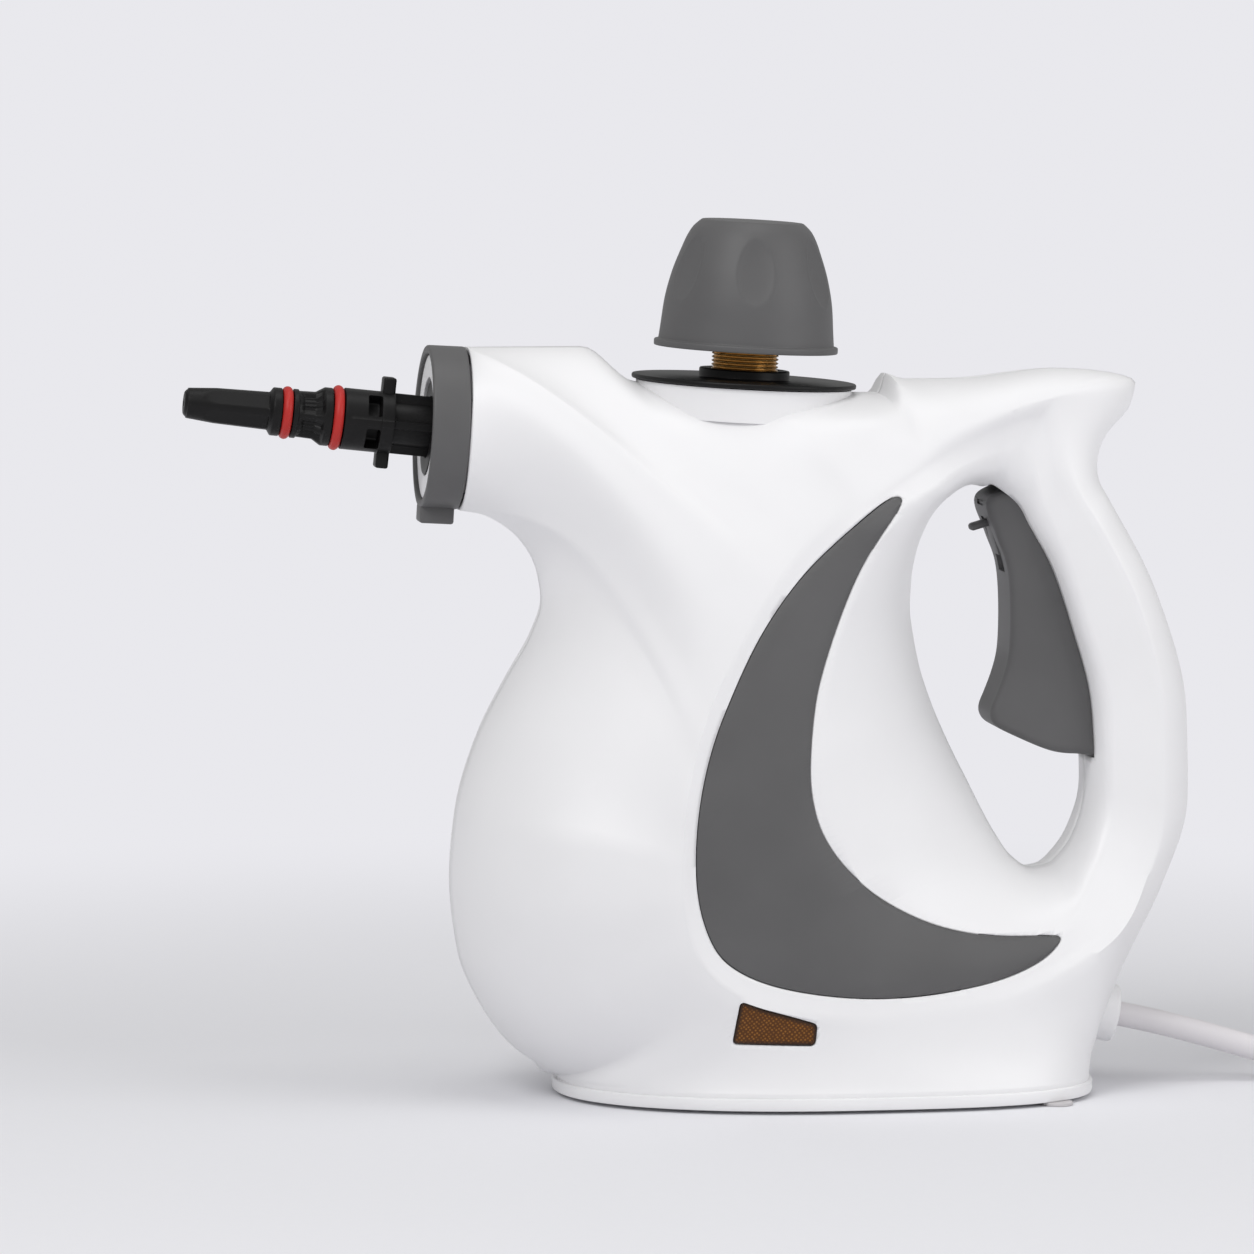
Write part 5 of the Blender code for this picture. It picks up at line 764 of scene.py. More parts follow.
def lathe(profile, place, steps=96, fillet=0.0003, closed=True, warp=None, longest=None):
    """Turned mesh from (radius, height) points, placed by a matrix."""
    points = rounded(profile, fillet, closed) if fillet else list(profile)
    if longest:
        points = refined(points, longest, closed)
    bm = bmesh.new()
    rings = []
    for radius, height in points:
        if radius < 1e-7:
            rings.append([bm.verts.new(place @ Vector((0, 0, height)))] * steps)
            continue
        ring = []
        for i in range(steps):
            angle = math.tau * i / steps
            reach = warp(radius, height, angle) if warp else radius
            ring.append(bm.verts.new(
                place @ Vector((reach * math.cos(angle), reach * math.sin(angle), height))))
        rings.append(ring)
    bridge(bm, rings, closed)
    return bm


def rounded_box(bm, size, middle, place, radius, segments=3):
    """Box with rounded edges, its middle and turn given in a placed frame."""
    made = bmesh.ops.create_cube(bm, size=1, matrix=Matrix.Diagonal((*size, 1)))
    verts = made["verts"]
    edges = list({e for v in verts for e in v.link_edges})
    grown = bmesh.ops.bevel(bm, geom=edges, offset=radius, segments=segments, profile=0.5,
                            affect="EDGES", clamp_overlap=True)
    moved = {v for f in grown["faces"] for v in f.verts} | {v for v in verts if v.is_valid}
    bmesh.ops.transform(bm, matrix=place @ Matrix.Translation(middle), verts=list(moved))


def prism(bm, points, low, high):
    """Outline in the XZ plane carried from y = low to y = high."""
    near, far = ([bm.verts.new((x, y, z)) for x, z in points] for y in (low, high))
    bm.faces.new(near)
    bm.faces.new(far[::-1])
    bridge(bm, [near, far])


def cylinder(bm, radius, low, high, place, sides=48, slot=0):
    """Plain cylinder along a placed frame's Z, its faces in a material slot."""
    made = bmesh.ops.create_cone(
        bm, cap_ends=True, segments=sides, radius1=radius, radius2=radius, depth=high - low,
        matrix=place @ Matrix.Translation((0, 0, (high + low) / 2)))
    for vert in made["verts"]:
        for face in vert.link_faces:
            face.material_index = slot


def combined(mesh, operation, bm, *paints):
    """Mesh after a Boolean with a tool; faces that the tool makes carry its material."""
    obj, tool = placed("work", mesh), placed("tool", mesh_from(bm, "tool", *paints))
    modifier = obj.modifiers.new("cut", "BOOLEAN")
    modifier.operation = operation
    modifier.solver = "EXACT"
    modifier.object = tool
    modifier.material_mode = "TRANSFER"
    bpy.context.view_layer.update()
    graph = bpy.context.evaluated_depsgraph_get()
    made = bpy.data.meshes.new_from_object(obj.evaluated_get(graph))
    for used in (obj, tool):
        bpy.data.objects.remove(used)
    return made


# Body shell
def scan_stations():
    """Stations close together all round the dial, with the creases among them."""
    first, last = BARREL_STATIONS
    scans = {first + (last - first) * i / BARREL_SCANS for i in range(BARREL_SCANS + 1)}
    rows = sorted(set(CREASE_STATIONS) | scans)
    for here, following in zip(rows, rows[1:] + [rows[0] + DIAL]):
        middle = silhouette((here + following) / 2 % DIAL)
        length = (silhouette(here) - middle).length + (silhouette(following % DIAL) - middle).length
        steps = math.ceil(length / SCAN_STEP)
        rows = rows + [(here + (following - here) * i / steps) % DIAL for i in range(1, steps)]
    return sorted(rows)


def body_grid():
    """Points of one side's skin, a column for each station, from the hand opening outwards."""
    stations = scan_stations()
    columns = []
    for station in stations:
        column = section(station)
        scoop, belt = column[INNER_ROWS], column[INNER_ROWS + 1]
        wide = min(max((scoop - belt).length / BELT_WIDTH - 0.8, 0), 1)
        scoop = column[INNER_ROWS] = scoop.lerp(belt, NARROWED * wide)
        chamfer = [scoop.lerp(belt, k / CHAMFER_ROWS) for k in range(1, CHAMFER_ROWS)]
        columns.append(column[:INNER_ROWS + 1] + chamfer + column[INNER_ROWS + 1:])
    grid = np.array([[tuple(p) for p in column] for column in columns])
    dial = np.array(stations)
    rows = np.arange(grid.shape[1])
    belt = INNER_ROWS + CHAMFER_ROWS
    outward = np.clip((rows - belt) / (rows[-1] - belt), 0, 1)

    def within(low, high, ease=1):
        """1 between two stations, easing to 0 at both."""
        return np.clip(np.minimum(dial - low, high - dial) / ease, 0, 1)[:, None]

    def around():
        return (np.roll(grid, 1, 0) + np.roll(grid, -1, 0)) / 2

    def across():
        return (grid[:, :-2] + grid[:, 2:]) / 2

    grid[:, :, 0] += SIDE_SHIFT * np.abs(grid[:, :, 1]) * (1 - outward) * within(*SHIFTED_STRETCH)
    sunk = np.where(rows <= INNER_ROWS, rows / INNER_ROWS, np.clip((belt - rows) / CHAMFER_ROWS, 0, 1))
    grid[:, :, 1] -= SCOOP_SUNK * within(*SUNK_STRETCH) * sunk[None, :] ** 2 * np.sign(grid[:, :, 1])
    low = (grid[:, -1, 2] < FOOT_RIM).astype(float)[:, None]
    grid[:, :, 2] -= FOOT_DROP * low * np.clip((outward - 0.55) / 0.45, 0, 1)[None, :] ** 2
    fixed, opening = grid[:, -1].copy(), grid[:, 0].copy()
    calm = ((dial > CALM_STRETCH[0]) & (dial < CALM_STRETCH[1])).astype(float)[:, None, None]
    for _ in range(2):
        grid = grid + (around() - grid) * 0.5 * (1 - calm)
        grid[:, -1] = fixed
    fold = (np.clip((outward - 0.02) / 0.12, 0, 1) * np.clip((1 - outward) / 0.08, 0, 1))[None, :, None]
    for low, high, passes in SOFT_STRETCHES:
        place = within(low, high, SOFT_EASE)[:, :, None]
        for _ in range(passes):
            crosswise = grid.copy()
            crosswise[:, 1:-1] = across()
            grid[:, :, 1:2] += (((around() + crosswise) / 2 - grid) * 0.7 * place * fold)[:, :, 1:2]
    crisp = np.ones(grid.shape[1] - 2)
    crisp[belt - CHAMFER_ROWS - 2:belt + 1] = 0.15
    crisp[belt - 1] = crisp[INNER_ROWS - 1] = 0.0
    for _ in range(3):
        grid[:, 1:-1] += (across() - grid[:, 1:-1]) * 0.5 * crisp[None, :, None]
    grid[:, 0, 1] = opening[:, 1]
    return grid


def closed_body():
    """Both sides of the outer skin, closed at the foot and at the barrel's end."""
    grid = body_grid()
    bm = bmesh.new()
    for side in (-1, 1):
        made = [[bm.verts.new((x, side * y, z)) for x, y, z in column] for column in grid]
        for here, following in zip(made, made[1:] + made[:1]):
            for j in range(len(here) - 1):
                bm.faces.new((here[j], here[j + 1], following[j + 1], following[j]))
    bmesh.ops.remove_doubles(bm, verts=bm.verts[:], dist=1e-6)
    flat = [f for f in bm.faces if f.calc_area() < 1e-12]
    bmesh.ops.delete(bm, geom=flat, context="FACES_ONLY")
    top = BODY_BOTTOM + 2 * SKIRT_HEIGHT
    rim = [e for e in bm.edges if e.is_boundary and max(v.co.z for v in e.verts) < top]
    down = bmesh.ops.extrude_edge_only(bm, edges=rim)["geom"]
    bmesh.ops.translate(bm, verts=[v for v in down if isinstance(v, bmesh.types.BMVert)],
                        vec=(0, 0, -SKIRT_HEIGHT))
    bmesh.ops.holes_fill(bm, edges=[e for e in bm.edges if e.is_boundary], sides=0)
    for face in bm.faces:
        face.material_index = 1 if len(face.verts) > 8 else 0
    return mesh_from(bm, "body", WHITE, CUT)


whole = closed_body()
surface = BVHTree.FromPolygons([tuple(v.co) for v in whole.vertices],
                               [tuple(p.vertices) for p in whole.polygons])


def hit_skin(x, z):
    """Place and normal of the near side's skin, seen along +Y."""
    return surface.ray_cast(Vector((x, -FAR_OUT, z)), Vector((0, 1, 0)))[:2]


def on_skin(x, z, depth):
    """Point of the near side's skin, sunk by a depth."""
    place, normal = hit_skin(x, z)
    return place - normal.normalized() * depth * math.copysign(1, -normal.y)


def shifted(points):
    """Outline moved back with the skin it lies on."""
    moved = []
    for x, z in points:
        reach = 0.0
        for _ in range(3):
            place, _ = hit_skin(x + SIDE_SHIFT * reach, z)
            reach = abs(place.y) if place else reach
        moved.append((x + SIDE_SHIFT * reach, z))
    return moved


CRESCENT = softened(closed_curve(shifted(outline(CRESCENT_SHARES))), CRESCENT_PASSES)
LAMP_OUTLINE = shifted(outline(LAMP_SHARES))


def with_cuts(mesh):
    """Body with the deck on, then every hole through its skin."""
    bm = bmesh.new()
    cylinder(bm, DECK_RADIUS, -DECK_SKIRT, -CLEARANCE, FILLER @ Matrix.Rotation(math.pi / 96, 4, "Z"), 96)
    mesh = combined(mesh, "UNION", bm, WHITE)
    bm = bmesh.new()
    prism(bm, CRESCENT, -FAR_OUT, FAR_OUT)
    prism(bm, rounded(LAMP_OUTLINE, LAMP_HOLE_ROUNDING, arc=4), -FAR_OUT, -BODY_HALF_WIDTH / 2)
    slot = TRIGGER_HALF_WIDTH + CLEARANCE
    prism(bm, outline(TRIGGER_SLOT_SHARES), -slot, slot)
    cylinder(bm, BUSH_RADIUS + CLEARANCE, -2 * BUSH_LENGTH, 2 * BUSH_LENGTH, CORD_EXIT)
    cylinder(bm, COLLAR_RADIUS + CLEARANCE, -DECK_SKIRT - WALL, OVERRUN, FILLER)
    for share in SCREW_PLACE_SHARES:
        place = Matrix.Translation(in_body(*share)) @ Matrix.Rotation(-math.pi / 2, 4, "X")
        cylinder(bm, SCREW_HEAD_RADIUS + CLEARANCE, SCREW_HEAD_SEAT, FAR_OUT, place, 32, 1)
    return combined(mesh, "DIFFERENCE", bm, CUT, WHITE)


def skin_only(mesh, side):
    """Open skin without the tools' walls, on one side of the mid-plane."""
    names = [m.name if m else "" for m in mesh.materials]
    bm = bmesh.new()
    bm.from_mesh(mesh)
    walls = [f for f in bm.faces if names[f.material_index] == CUT.name]
    bmesh.ops.delete(bm, geom=walls, context="FACES")
    bmesh.ops.bisect_plane(
        bm, geom=bm.verts[:] + bm.edges[:] + bm.faces[:], plane_co=(0, side * CLEARANCE / 2, 0),
        plane_no=(0, -side, 0), clear_outer=True)
    bmesh.ops.remove_doubles(bm, verts=bm.verts[:], dist=2e-6)
    return bm


def skin_pieces():
    """Housing halves and crescent panels, both taken from the whole skin and given a wall."""
    bm = bmesh.new()
    prism(bm, grown_outline(CRESCENT, -CLEARANCE), -FAR_OUT, FAR_OUT)
    housings, panels = with_cuts(whole.copy()), combined(whole.copy(), "INTERSECT", bm, CUT)
    for mesh, slot, node, ending, side in (
        (housings, "white_plastic", "left_housing", "_skin", -1),
        (housings, "white_plastic", "right_housing", "_skin", 1),
        (panels, "grey_plastic", "crescent_panel_left", "_face", -1),
        (panels, "grey_plastic", "crescent_panel_right", "_face", 1),
    ):
        shell = piece(node, skin_only(mesh, side), slot, name=node + ending, angle=SKIN_CREASE)
        modifier = shell.modifiers.new("wall", "SOLIDIFY")
        modifier.thickness = SKIN_WALL
        modifier.offset = -1
        modifier.use_quality_normals = True
        shell.modifiers.new("even", "WEIGHTED_NORMAL").keep_sharp = True


def lamp_window():
    """Lens that follows the skin, with a layer that says how far inside its rim a point lies."""
    rim = refined(rounded(grown_outline(LAMP_OUTLINE, -CLEARANCE), LENS_ROUNDING, arc=4), LENS_STEP)
    centre = sum((Vector(p) for p in rim), Vector((0, 0))) / len(rim)
    inset, deep = LENS_LOOPS[-1]
    field = grown_outline(rim, -inset)
    loops = [(grown_outline(rim, -inset) if inset else rim, depth,
              min(max((inset - LENS_SHADE_START) / LENS_SHADE_WIDTH, 0), 1)) for inset, depth in LENS_LOOPS]
    loops += [([centre.lerp(Vector(p), part) for p in field], deep, 1.0) for part in (0.66, 0.33)]
    bm = bmesh.new()
    shade = bm.verts.layers.float.new("inside")
    rings = []
    for plan, depth, inside in (*loops, ([centre], deep, 1.0)):
        ring = [bm.verts.new(on_skin(x, z, depth)) for x, z in plan]
        for vert in ring:
            vert[shade] = inside
        rings.append(ring)
    rings[-1] *= len(rim)
    bridge(bm, rings)
    piece("lamp_lens", bm, "amber_lens", name="lamp_window", angle=60)


# Barrel's front
def barrel_pieces():
    """Ring with its tab, white face and dark socket."""
    outer, inner = BARREL_RADIUS, BARREL_RADIUS - RING_THICKNESS
    bm = lathe(((outer, 0), (outer, -RING_LENGTH), (inner, -RING_LENGTH), (inner, 0)), BARREL, 128,
               RING_ROUNDING * 0.8)
    tab = TAB_DROP + RING_THICKNESS / 2
    rounded_box(bm, (tab, TAB_WIDTH, TAB_LENGTH), (-(outer + TAB_DROP - tab / 2), 0, -TAB_LENGTH / 2),
                BARREL, 0.0007)
    piece("bezel_ring", bm, "grey_plastic")
    face_outer = inner - CLEARANCE
    spigot = BARREL_RADIUS - WALL - FACE_SPIGOT_PLAY
    front, back = -FACE_DEPTH, -(RING_LENGTH + FACE_SPIGOT)
    bm = lathe(
        ((face_outer, front), (face_outer, -RING_LENGTH), (spigot, -RING_LENGTH), (spigot, back),
         (spigot - FACE_THICKNESS, back), (spigot - FACE_THICKNESS, front - FACE_THICKNESS),
         (FACE_BORE_RADIUS, front - FACE_THICKNESS), (FACE_BORE_RADIUS, front)), BARREL, 128)
    piece("bezel_face", bm, "white_plastic")
    socket = FACE_BORE_RADIUS - CLEARANCE
    seat = front - FACE_THICKNESS - SOCKET_PLAY
    flange = socket + SOCKET_FLANGE
    bore = NOZZLE_RADIUS * NOZZLE_BODY_SHARES[-1][1] + CLEARANCE
    bm = lathe(
        ((socket, front - CLEARANCE), (socket, seat), (flange, seat),
         (flange, seat - SOCKET_FLANGE_THICKNESS), (bore + FACE_THICKNESS, seat - SOCKET_FLANGE_THICKNESS),
         (bore + FACE_THICKNESS, front - SOCKET_LENGTH), (bore, front - SOCKET_LENGTH),
         (bore, front - CLEARANCE)), NOZZLE)
    piece("nozzle_socket", bm, "black_plastic")


def near(angle, target, half_width):
    """1 within an angle's band, easing to 0 at its sides."""
    gap = abs((angle - target + math.pi) % math.tau - math.pi)
    return min(max((half_width - gap) / (half_width * 0.35) + 0.5, 0), 1)


def nozzle_pieces():
    """Nozzle with flats, pockets, ribs and windows, its two O-rings and the pipe inside."""
    def row(share):
        forward = NOZZLE_FORWARD if share[0] < NOZZLE_COLLAR_SHARES[0][0] * 1.01 else 0
        return (share[1] * NOZZLE_RADIUS, share[0] * NOZZLE_REACH + forward)

    flare = zip(NOZZLE_FLARE_HEIGHTS, (NOZZLE_TIP_SHARES[-1][1], NOZZLE_COLLAR_SHARES[0][1]))
    profile = [row(share) for share in (*NOZZLE_TIP_SHARES[:-1], *flare, NOZZLE_COLLAR_SHARES[1])]
    grooves = []
    for before, after in ((NOZZLE_COLLAR_SHARES[-1], NOZZLE_NECK_SHARES[0]),
                          (NOZZLE_NECK_SHARES[-1], NOZZLE_BODY_SHARES[0])):
        top, bottom = row(before), row(after)
        outer = max(top[0], bottom[0]) + O_RING_PROUD
        grooves.append((outer - 2 * O_RING_RADIUS - CLEARANCE, top[1], bottom[1], outer))
    front, rear = grooves
    profile += [(front[0], front[1]), (front[0], front[2])]
    profile += [row(share) for share in NOZZLE_NECK_SHARES]
    profile += [(rear[0], rear[1]), (rear[0], rear[2])]
    ring_shares = [(NOZZLE_BODY_SHARES[k][0], RING_PROUD_SHARE) for k in (1, 3)]
    profile += [row(share) for share in (*NOZZLE_BODY_SHARES[:2], *ring_shares, NOZZLE_BODY_SHARES[-1])]
    tail = profile[-1][0]
    throat = row(NOZZLE_NECK_SHARES[2])[1]
    low, high = row(NOZZLE_BODY_SHARES[1])[1], WINDOW_REACH_SHARES[1] * NOZZLE_REACH + NOZZLE_FORWARD
    profile += [(tail, -NOZZLE_TAIL), (NOZZLE_BORE_RADIUS, -NOZZLE_TAIL),
                (NOZZLE_BORE_RADIUS, throat), (JET_RADIUS, throat + NOZZLE_BORE_RADIUS),
                (JET_RADIUS, NOZZLE_REACH)]
    neck_low, neck_high = (row(NOZZLE_NECK_SHARES[k])[1] for k in (4, 2))
    body_low, body_high = (row(NOZZLE_BODY_SHARES[k])[1] for k in (3, 0))
    tip_low, tip_high = (row(NOZZLE_TIP_SHARES[k])[1] for k in (3, 1))
    sides = [side * math.pi / 2 for side in (-1, 1)]

    def warp(radius, height, angle):
        if radius < NOZZLE_BORE_RADIUS * 1.05:
            return radius
        level = min(abs((angle - side + math.pi) % math.tau - math.pi) for side in sides)
        if tip_low - 0.0002 < height < tip_high:
            share = (tip_high - height) / (tip_high - tip_low)
            radius *= 1 + TIP_SWELL * (1 - share)
            ease = min(max((share - FLAT_START) / FLAT_EASE, 0), 1) ** 0.5
            depth = 1 - (1 - math.cos(FLAT_HALF_TURN)) * ease
            return min(radius, radius * depth / max(math.cos(level - FLAT_TURN), 0.3))
        if neck_low < height < neck_high and radius > NOZZLE_RADIUS * 0.7:
            pocket = near(level, POCKET_TURN, POCKET_HALF_TURN)
            streak = STREAK_SHARE * pocket * max(math.cos(level * STREAK_COUNT), 0) ** 2
            edge = min(height - neck_low, neck_high - POCKET_EDGE - height) / POCKET_EDGE
            return radius - POCKET_DEPTH * (pocket - streak) * min(max(edge, 0), 1)
        if height < body_low and radius > tail * 0.95:
            rib = max(near(angle, k * math.pi / 2, TAIL_RIB_HALF_TURN) for k in range(4))
            return radius - TAIL_GROOVE * (1 - rib)
        if body_low < height < body_high * 0.90 and radius > NOZZLE_RADIUS * 0.9:
            return radius + SEAM_HEIGHT * near(level, 0, SEAM_HALF_TURN)
        return radius

    mesh = mesh_from(lathe(profile, NOZZLE, 144, 0.00025, warp=warp, longest=0.0007), "nozzle")
    bm = bmesh.new()
    for side in sides:
        for turn in (-WINDOW_TURN, WINDOW_TURN):
            place = NOZZLE @ Matrix.Rotation(side + turn, 4, "Z")
            rounded_box(bm, (NOZZLE_RADIUS, WINDOW_SPAN, high - low),
                        (WINDOW_FLOOR + NOZZLE_RADIUS / 2, 0, (low + high) / 2), place, EDGE_ROUNDING)
    mesh = combined(mesh, "DIFFERENCE", bm)
    bm = bmesh.new()
    bm.from_mesh(mesh)
    lug_height = LUG_SPAN / 2 - NOZZLE_RADIUS + LUG_OVERLAP
    top, bottom = (row(NOZZLE_BODY_SHARES[k])[1] for k in (2, 3))
    for side in (-1, 1):
        rounded_box(bm, (lug_height, LUG_WIDTH, top - bottom),
                    (side * (LUG_SPAN / 2 - lug_height / 2), 0, (top + bottom) / 2), NOZZLE, EDGE_ROUNDING)
    piece("steam_nozzle", bm, "black_plastic", angle=30)
    for node, (_, top, bottom, outer) in zip(("o_ring_front", "o_ring_rear"), grooves):
        turns = [math.tau * i / O_RING_SIDES for i in range(O_RING_SIDES)]
        circle = [(outer - O_RING_RADIUS + O_RING_RADIUS * math.cos(turn),
                   (top + bottom) / 2 - O_RING_RADIUS * math.sin(turn)) for turn in turns]
        piece(node, lathe(circle, NOZZLE, fillet=0), "red_rubber", angle=80)
    bore = STEAM_PIPE_RADIUS - STEAM_PIPE_WALL
    front, rear = high + STEAM_PIPE_RADIUS, -(VALVE_DEPTH - CLEARANCE)
    bm = lathe(((STEAM_PIPE_RADIUS, front), (STEAM_PIPE_RADIUS, rear), (bore, rear), (bore, front)), NOZZLE, 48)
    piece("steam_pipe", bm, "brass")


# Filler and cap
def filler_pieces():
    """Funnel: disc, collar and spigot."""
    bore = PLUG_RADIUS + CLEARANCE
    top = FUNNEL_THICKNESS + COLLAR_HEIGHT
    bm = lathe(
        ((COLLAR_RADIUS, top), (COLLAR_RADIUS, FUNNEL_THICKNESS), (FUNNEL_RADIUS, FUNNEL_THICKNESS),
         (FUNNEL_RADIUS, 0), (COLLAR_RADIUS, 0), (COLLAR_RADIUS, -FUNNEL_SPIGOT), (bore, -FUNNEL_SPIGOT),
         (bore, top)), FILLER, 160, 0.0005)
    piece("filler_funnel", bm, "black_plastic")


def cap_pieces():
    """Cap's shell with its finger dimples, and its threaded brass plug."""
    bottom = FUNNEL_THICKNESS + CAP_LIFT
    seal_bottom = FUNNEL_THICKNESS + COLLAR_HEIGHT + CLEARANCE + CAP_TURNS_OPEN * CAP_THREAD_PITCH
    core_bottom = seal_bottom + GASKET_THICKNESS + CLEARANCE
    pocket = PLUG_RADIUS + CLEARANCE
    pocket_top = core_bottom + PLUG_IN_CAP
    shares = (CAP_PROFILE_SHARES[0], *CAP_TOP_SHARES, *CAP_PROFILE_SHARES[3:])
    outer = [(share[1] * CAP_RADIUS, bottom + share[0] * CAP_HEIGHT) for share in shares]
    inside = [(r - CAP_WALL, h - (CAP_WALL if i == 0 else 0)) for i, (r, h) in enumerate(outer[3:8])]
    rim = outer[-1][0] - CAP_WALL
    radii, knots = zip(*outer[8:1:-1])
    fine = [(smooth(knots, radii, h), h) for h in np.linspace(knots[-1], knots[0], CAP_LEVELS)]
    profile = outer[:2] + fine + outer[9:] + [(rim, bottom)] + inside[::-1] + [
        (CAP_CORE_RADIUS, inside[0][1]), (CAP_CORE_RADIUS, core_bottom), (pocket, core_bottom),
        (pocket, pocket_top), (0, pocket_top)]
    middle = bottom + DIMPLE_MIDDLE_SHARE * CAP_HEIGHT
    first = -math.pi / 2 + DIMPLE_TURN

    def warp(radius, height, angle):
        if radius < CAP_RADIUS * 0.60 or not knots[0] < height < knots[-1]:
            return radius
        if radius < smooth(knots, radii, height) - CAP_WALL / 2:
            return radius
        part = (angle - first) % (math.tau / DIMPLE_COUNT)
        part = min(part, math.tau / DIMPLE_COUNT - part) * CAP_RADIUS * 0.87
        square = (part / (DIMPLE_WIDTH / 2)) ** 2 + ((height - middle) / (DIMPLE_HEIGHT / 2)) ** 2
        return radius - DIMPLE_DEPTH * max(1 - square, 0) ** 0.8

    bm = lathe(profile, FILLER, 300, 0.0004, False, warp, 0.0007)
    piece("cap_shell", bm, "grey_plastic", "cap", angle=32)
    plug_top, plug_bottom = pocket_top - CLEARANCE, -PLUG_BELOW
    bore_top = plug_top - PLUG_IN_CAP
    thread_top, thread_bottom = core_bottom, plug_bottom + THREAD_RUNOUT
    pitch = CAP_THREAD_PITCH * 2 / 3
    count = round((thread_top - thread_bottom) / pitch * THREAD_POINTS)
    thread = [(PLUG_RADIUS - THREAD_DEPTH * (1 - math.cos(math.tau * i / THREAD_POINTS)),
               thread_top - pitch * i / THREAD_POINTS) for i in range(count + 1)]
    bm = lathe(((0, plug_top), (PLUG_RADIUS, plug_top), *thread, (PLUG_RADIUS, plug_bottom),
                (PLUG_BORE_RADIUS, plug_bottom), (PLUG_BORE_RADIUS, bore_top), (0, bore_top)),
               FILLER, 128, 0)
    piece("cap_plug", bm, "brass", "cap", angle=75)


# Trigger
def trigger_pieces():
    """Trigger with rounded edges and a recess, and the lock that slides in it."""
    plan = refined(closed_curve(outline(TRIGGER_FRONT_SHARES + TRIGGER_REAR_SHARES), 4), 0.0009)
    plan = softened(plan, 3)
    turns = [math.pi / 2 * k / TRIGGER_EDGE_STEPS for k in range(TRIGGER_EDGE_STEPS + 1)]
    levels = [(TRIGGER_EDGE * (1 - math.cos(turn)), TRIGGER_HALF_WIDTH - TRIGGER_EDGE * (1 - math.sin(turn)))
              for turn in turns]
    loops = [(inset, -reach) for inset, reach in levels[::-1]] + levels
    bm = stacked([[(x, side, z) for x, z in (grown_outline(plan, -inset) if inset else plan)]
                  for inset, side in loops])
    mesh = mesh_from(bm, "trigger")
    top, _, bottom = (Vector(p) for p in outline(TRIGGER_FRONT_SHARES[:3]))
    face = top - bottom
    lean = math.atan2(face.x, face.y)
    middle = bottom + face * LOCK_PLACE_SHARE
    place = Matrix.Translation((middle.x, 0, middle.y)) @ Matrix.Rotation(lean, 4, "Y")
    sunk = LOCK_THICKNESS - LOCK_PROUD
    room = 2 * CLEARANCE
    bm = bmesh.new()
    rounded_box(bm, (2 * (sunk + CLEARANCE), LOCK_WIDTH + room, LOCK_LENGTH + LOCK_TRAVEL + room),
                (0, 0, -LOCK_TRAVEL / 2), place, 0.0003, 2)
    piece("trigger", combined(mesh, "DIFFERENCE", bm), "grey_plastic", "trigger", angle=30)
    bm = bmesh.new()
    rounded_box(bm, (LOCK_THICKNESS, LOCK_WIDTH, LOCK_LENGTH), (LOCK_THICKNESS / 2 - LOCK_PROUD, 0, 0),
                place, 0.0004)
    peg = LOCK_PEG_LENGTH + LOCK_THICKNESS / 2
    outward = LOCK_PROUD + LOCK_PEG_LENGTH - peg / 2
    rounded_box(bm, (peg, LOCK_WIDTH / 2, LOCK_PEG_THICKNESS), (-outward, 0, LOCK_PEG_RISE), place, 0.0009, 4)
    piece("trigger_lock", bm, "grey_plastic", "lock")


# Foot
def foot_pieces():
    """Base plate with its rim, and the four foot pads."""
    top = FOOT_HEIGHT + BASE_THICKNESS + CLEARANCE
    rings = []
    for inset, height in ((1, 0), (0.3, 0.3), (0, 1), (0, -1), (0.3, -0.3), (1, 0), (3, 0)):
        half = [base_point(i / BASE_SIDES, BASE_LIP - inset * BASE_EDGE) for i in range(BASE_SIDES + 1)]
        level = (FOOT_HEIGHT if len(rings) < 3 else top) + height * BASE_EDGE
        rings.append([(x, y, level) for x, y in half + [(x, -y) for x, y in half[-2:0:-1]]])
    piece("base_plate", stacked(rings), "white_plastic")
    reach = FOOT_RADIUS * FOOT_SHOWN
    for end, (x_share, width_share) in zip(("front", "rear"), FOOT_PLACE_SHARES):
        for hand, side in (("left", -1), ("right", 1)):
            place = Matrix.Translation((body_x(x_share), side * width_share * BODY_HALF_WIDTH, 0))
            bm = lathe(((0, FOOT_HEIGHT), (reach, FOOT_HEIGHT), (reach, 0), (0, 0)), place, 48,
                       closed=False)
            piece(f"foot_{end}_{hand}", bm, "black_rubber", paint=PALE_RUBBER)


# Mains cord
def bezier(start, pull_start, pull_end, end, steps):
    """Points of a Bezier curve, without its first."""
    parts = [i / steps for i in range(1, steps + 1)]
    return [start * (1 - t) ** 3 + pull_start * (3 * t * (1 - t) ** 2)
            + pull_end * (3 * t**2 * (1 - t)) + end * t**3 for t in parts]


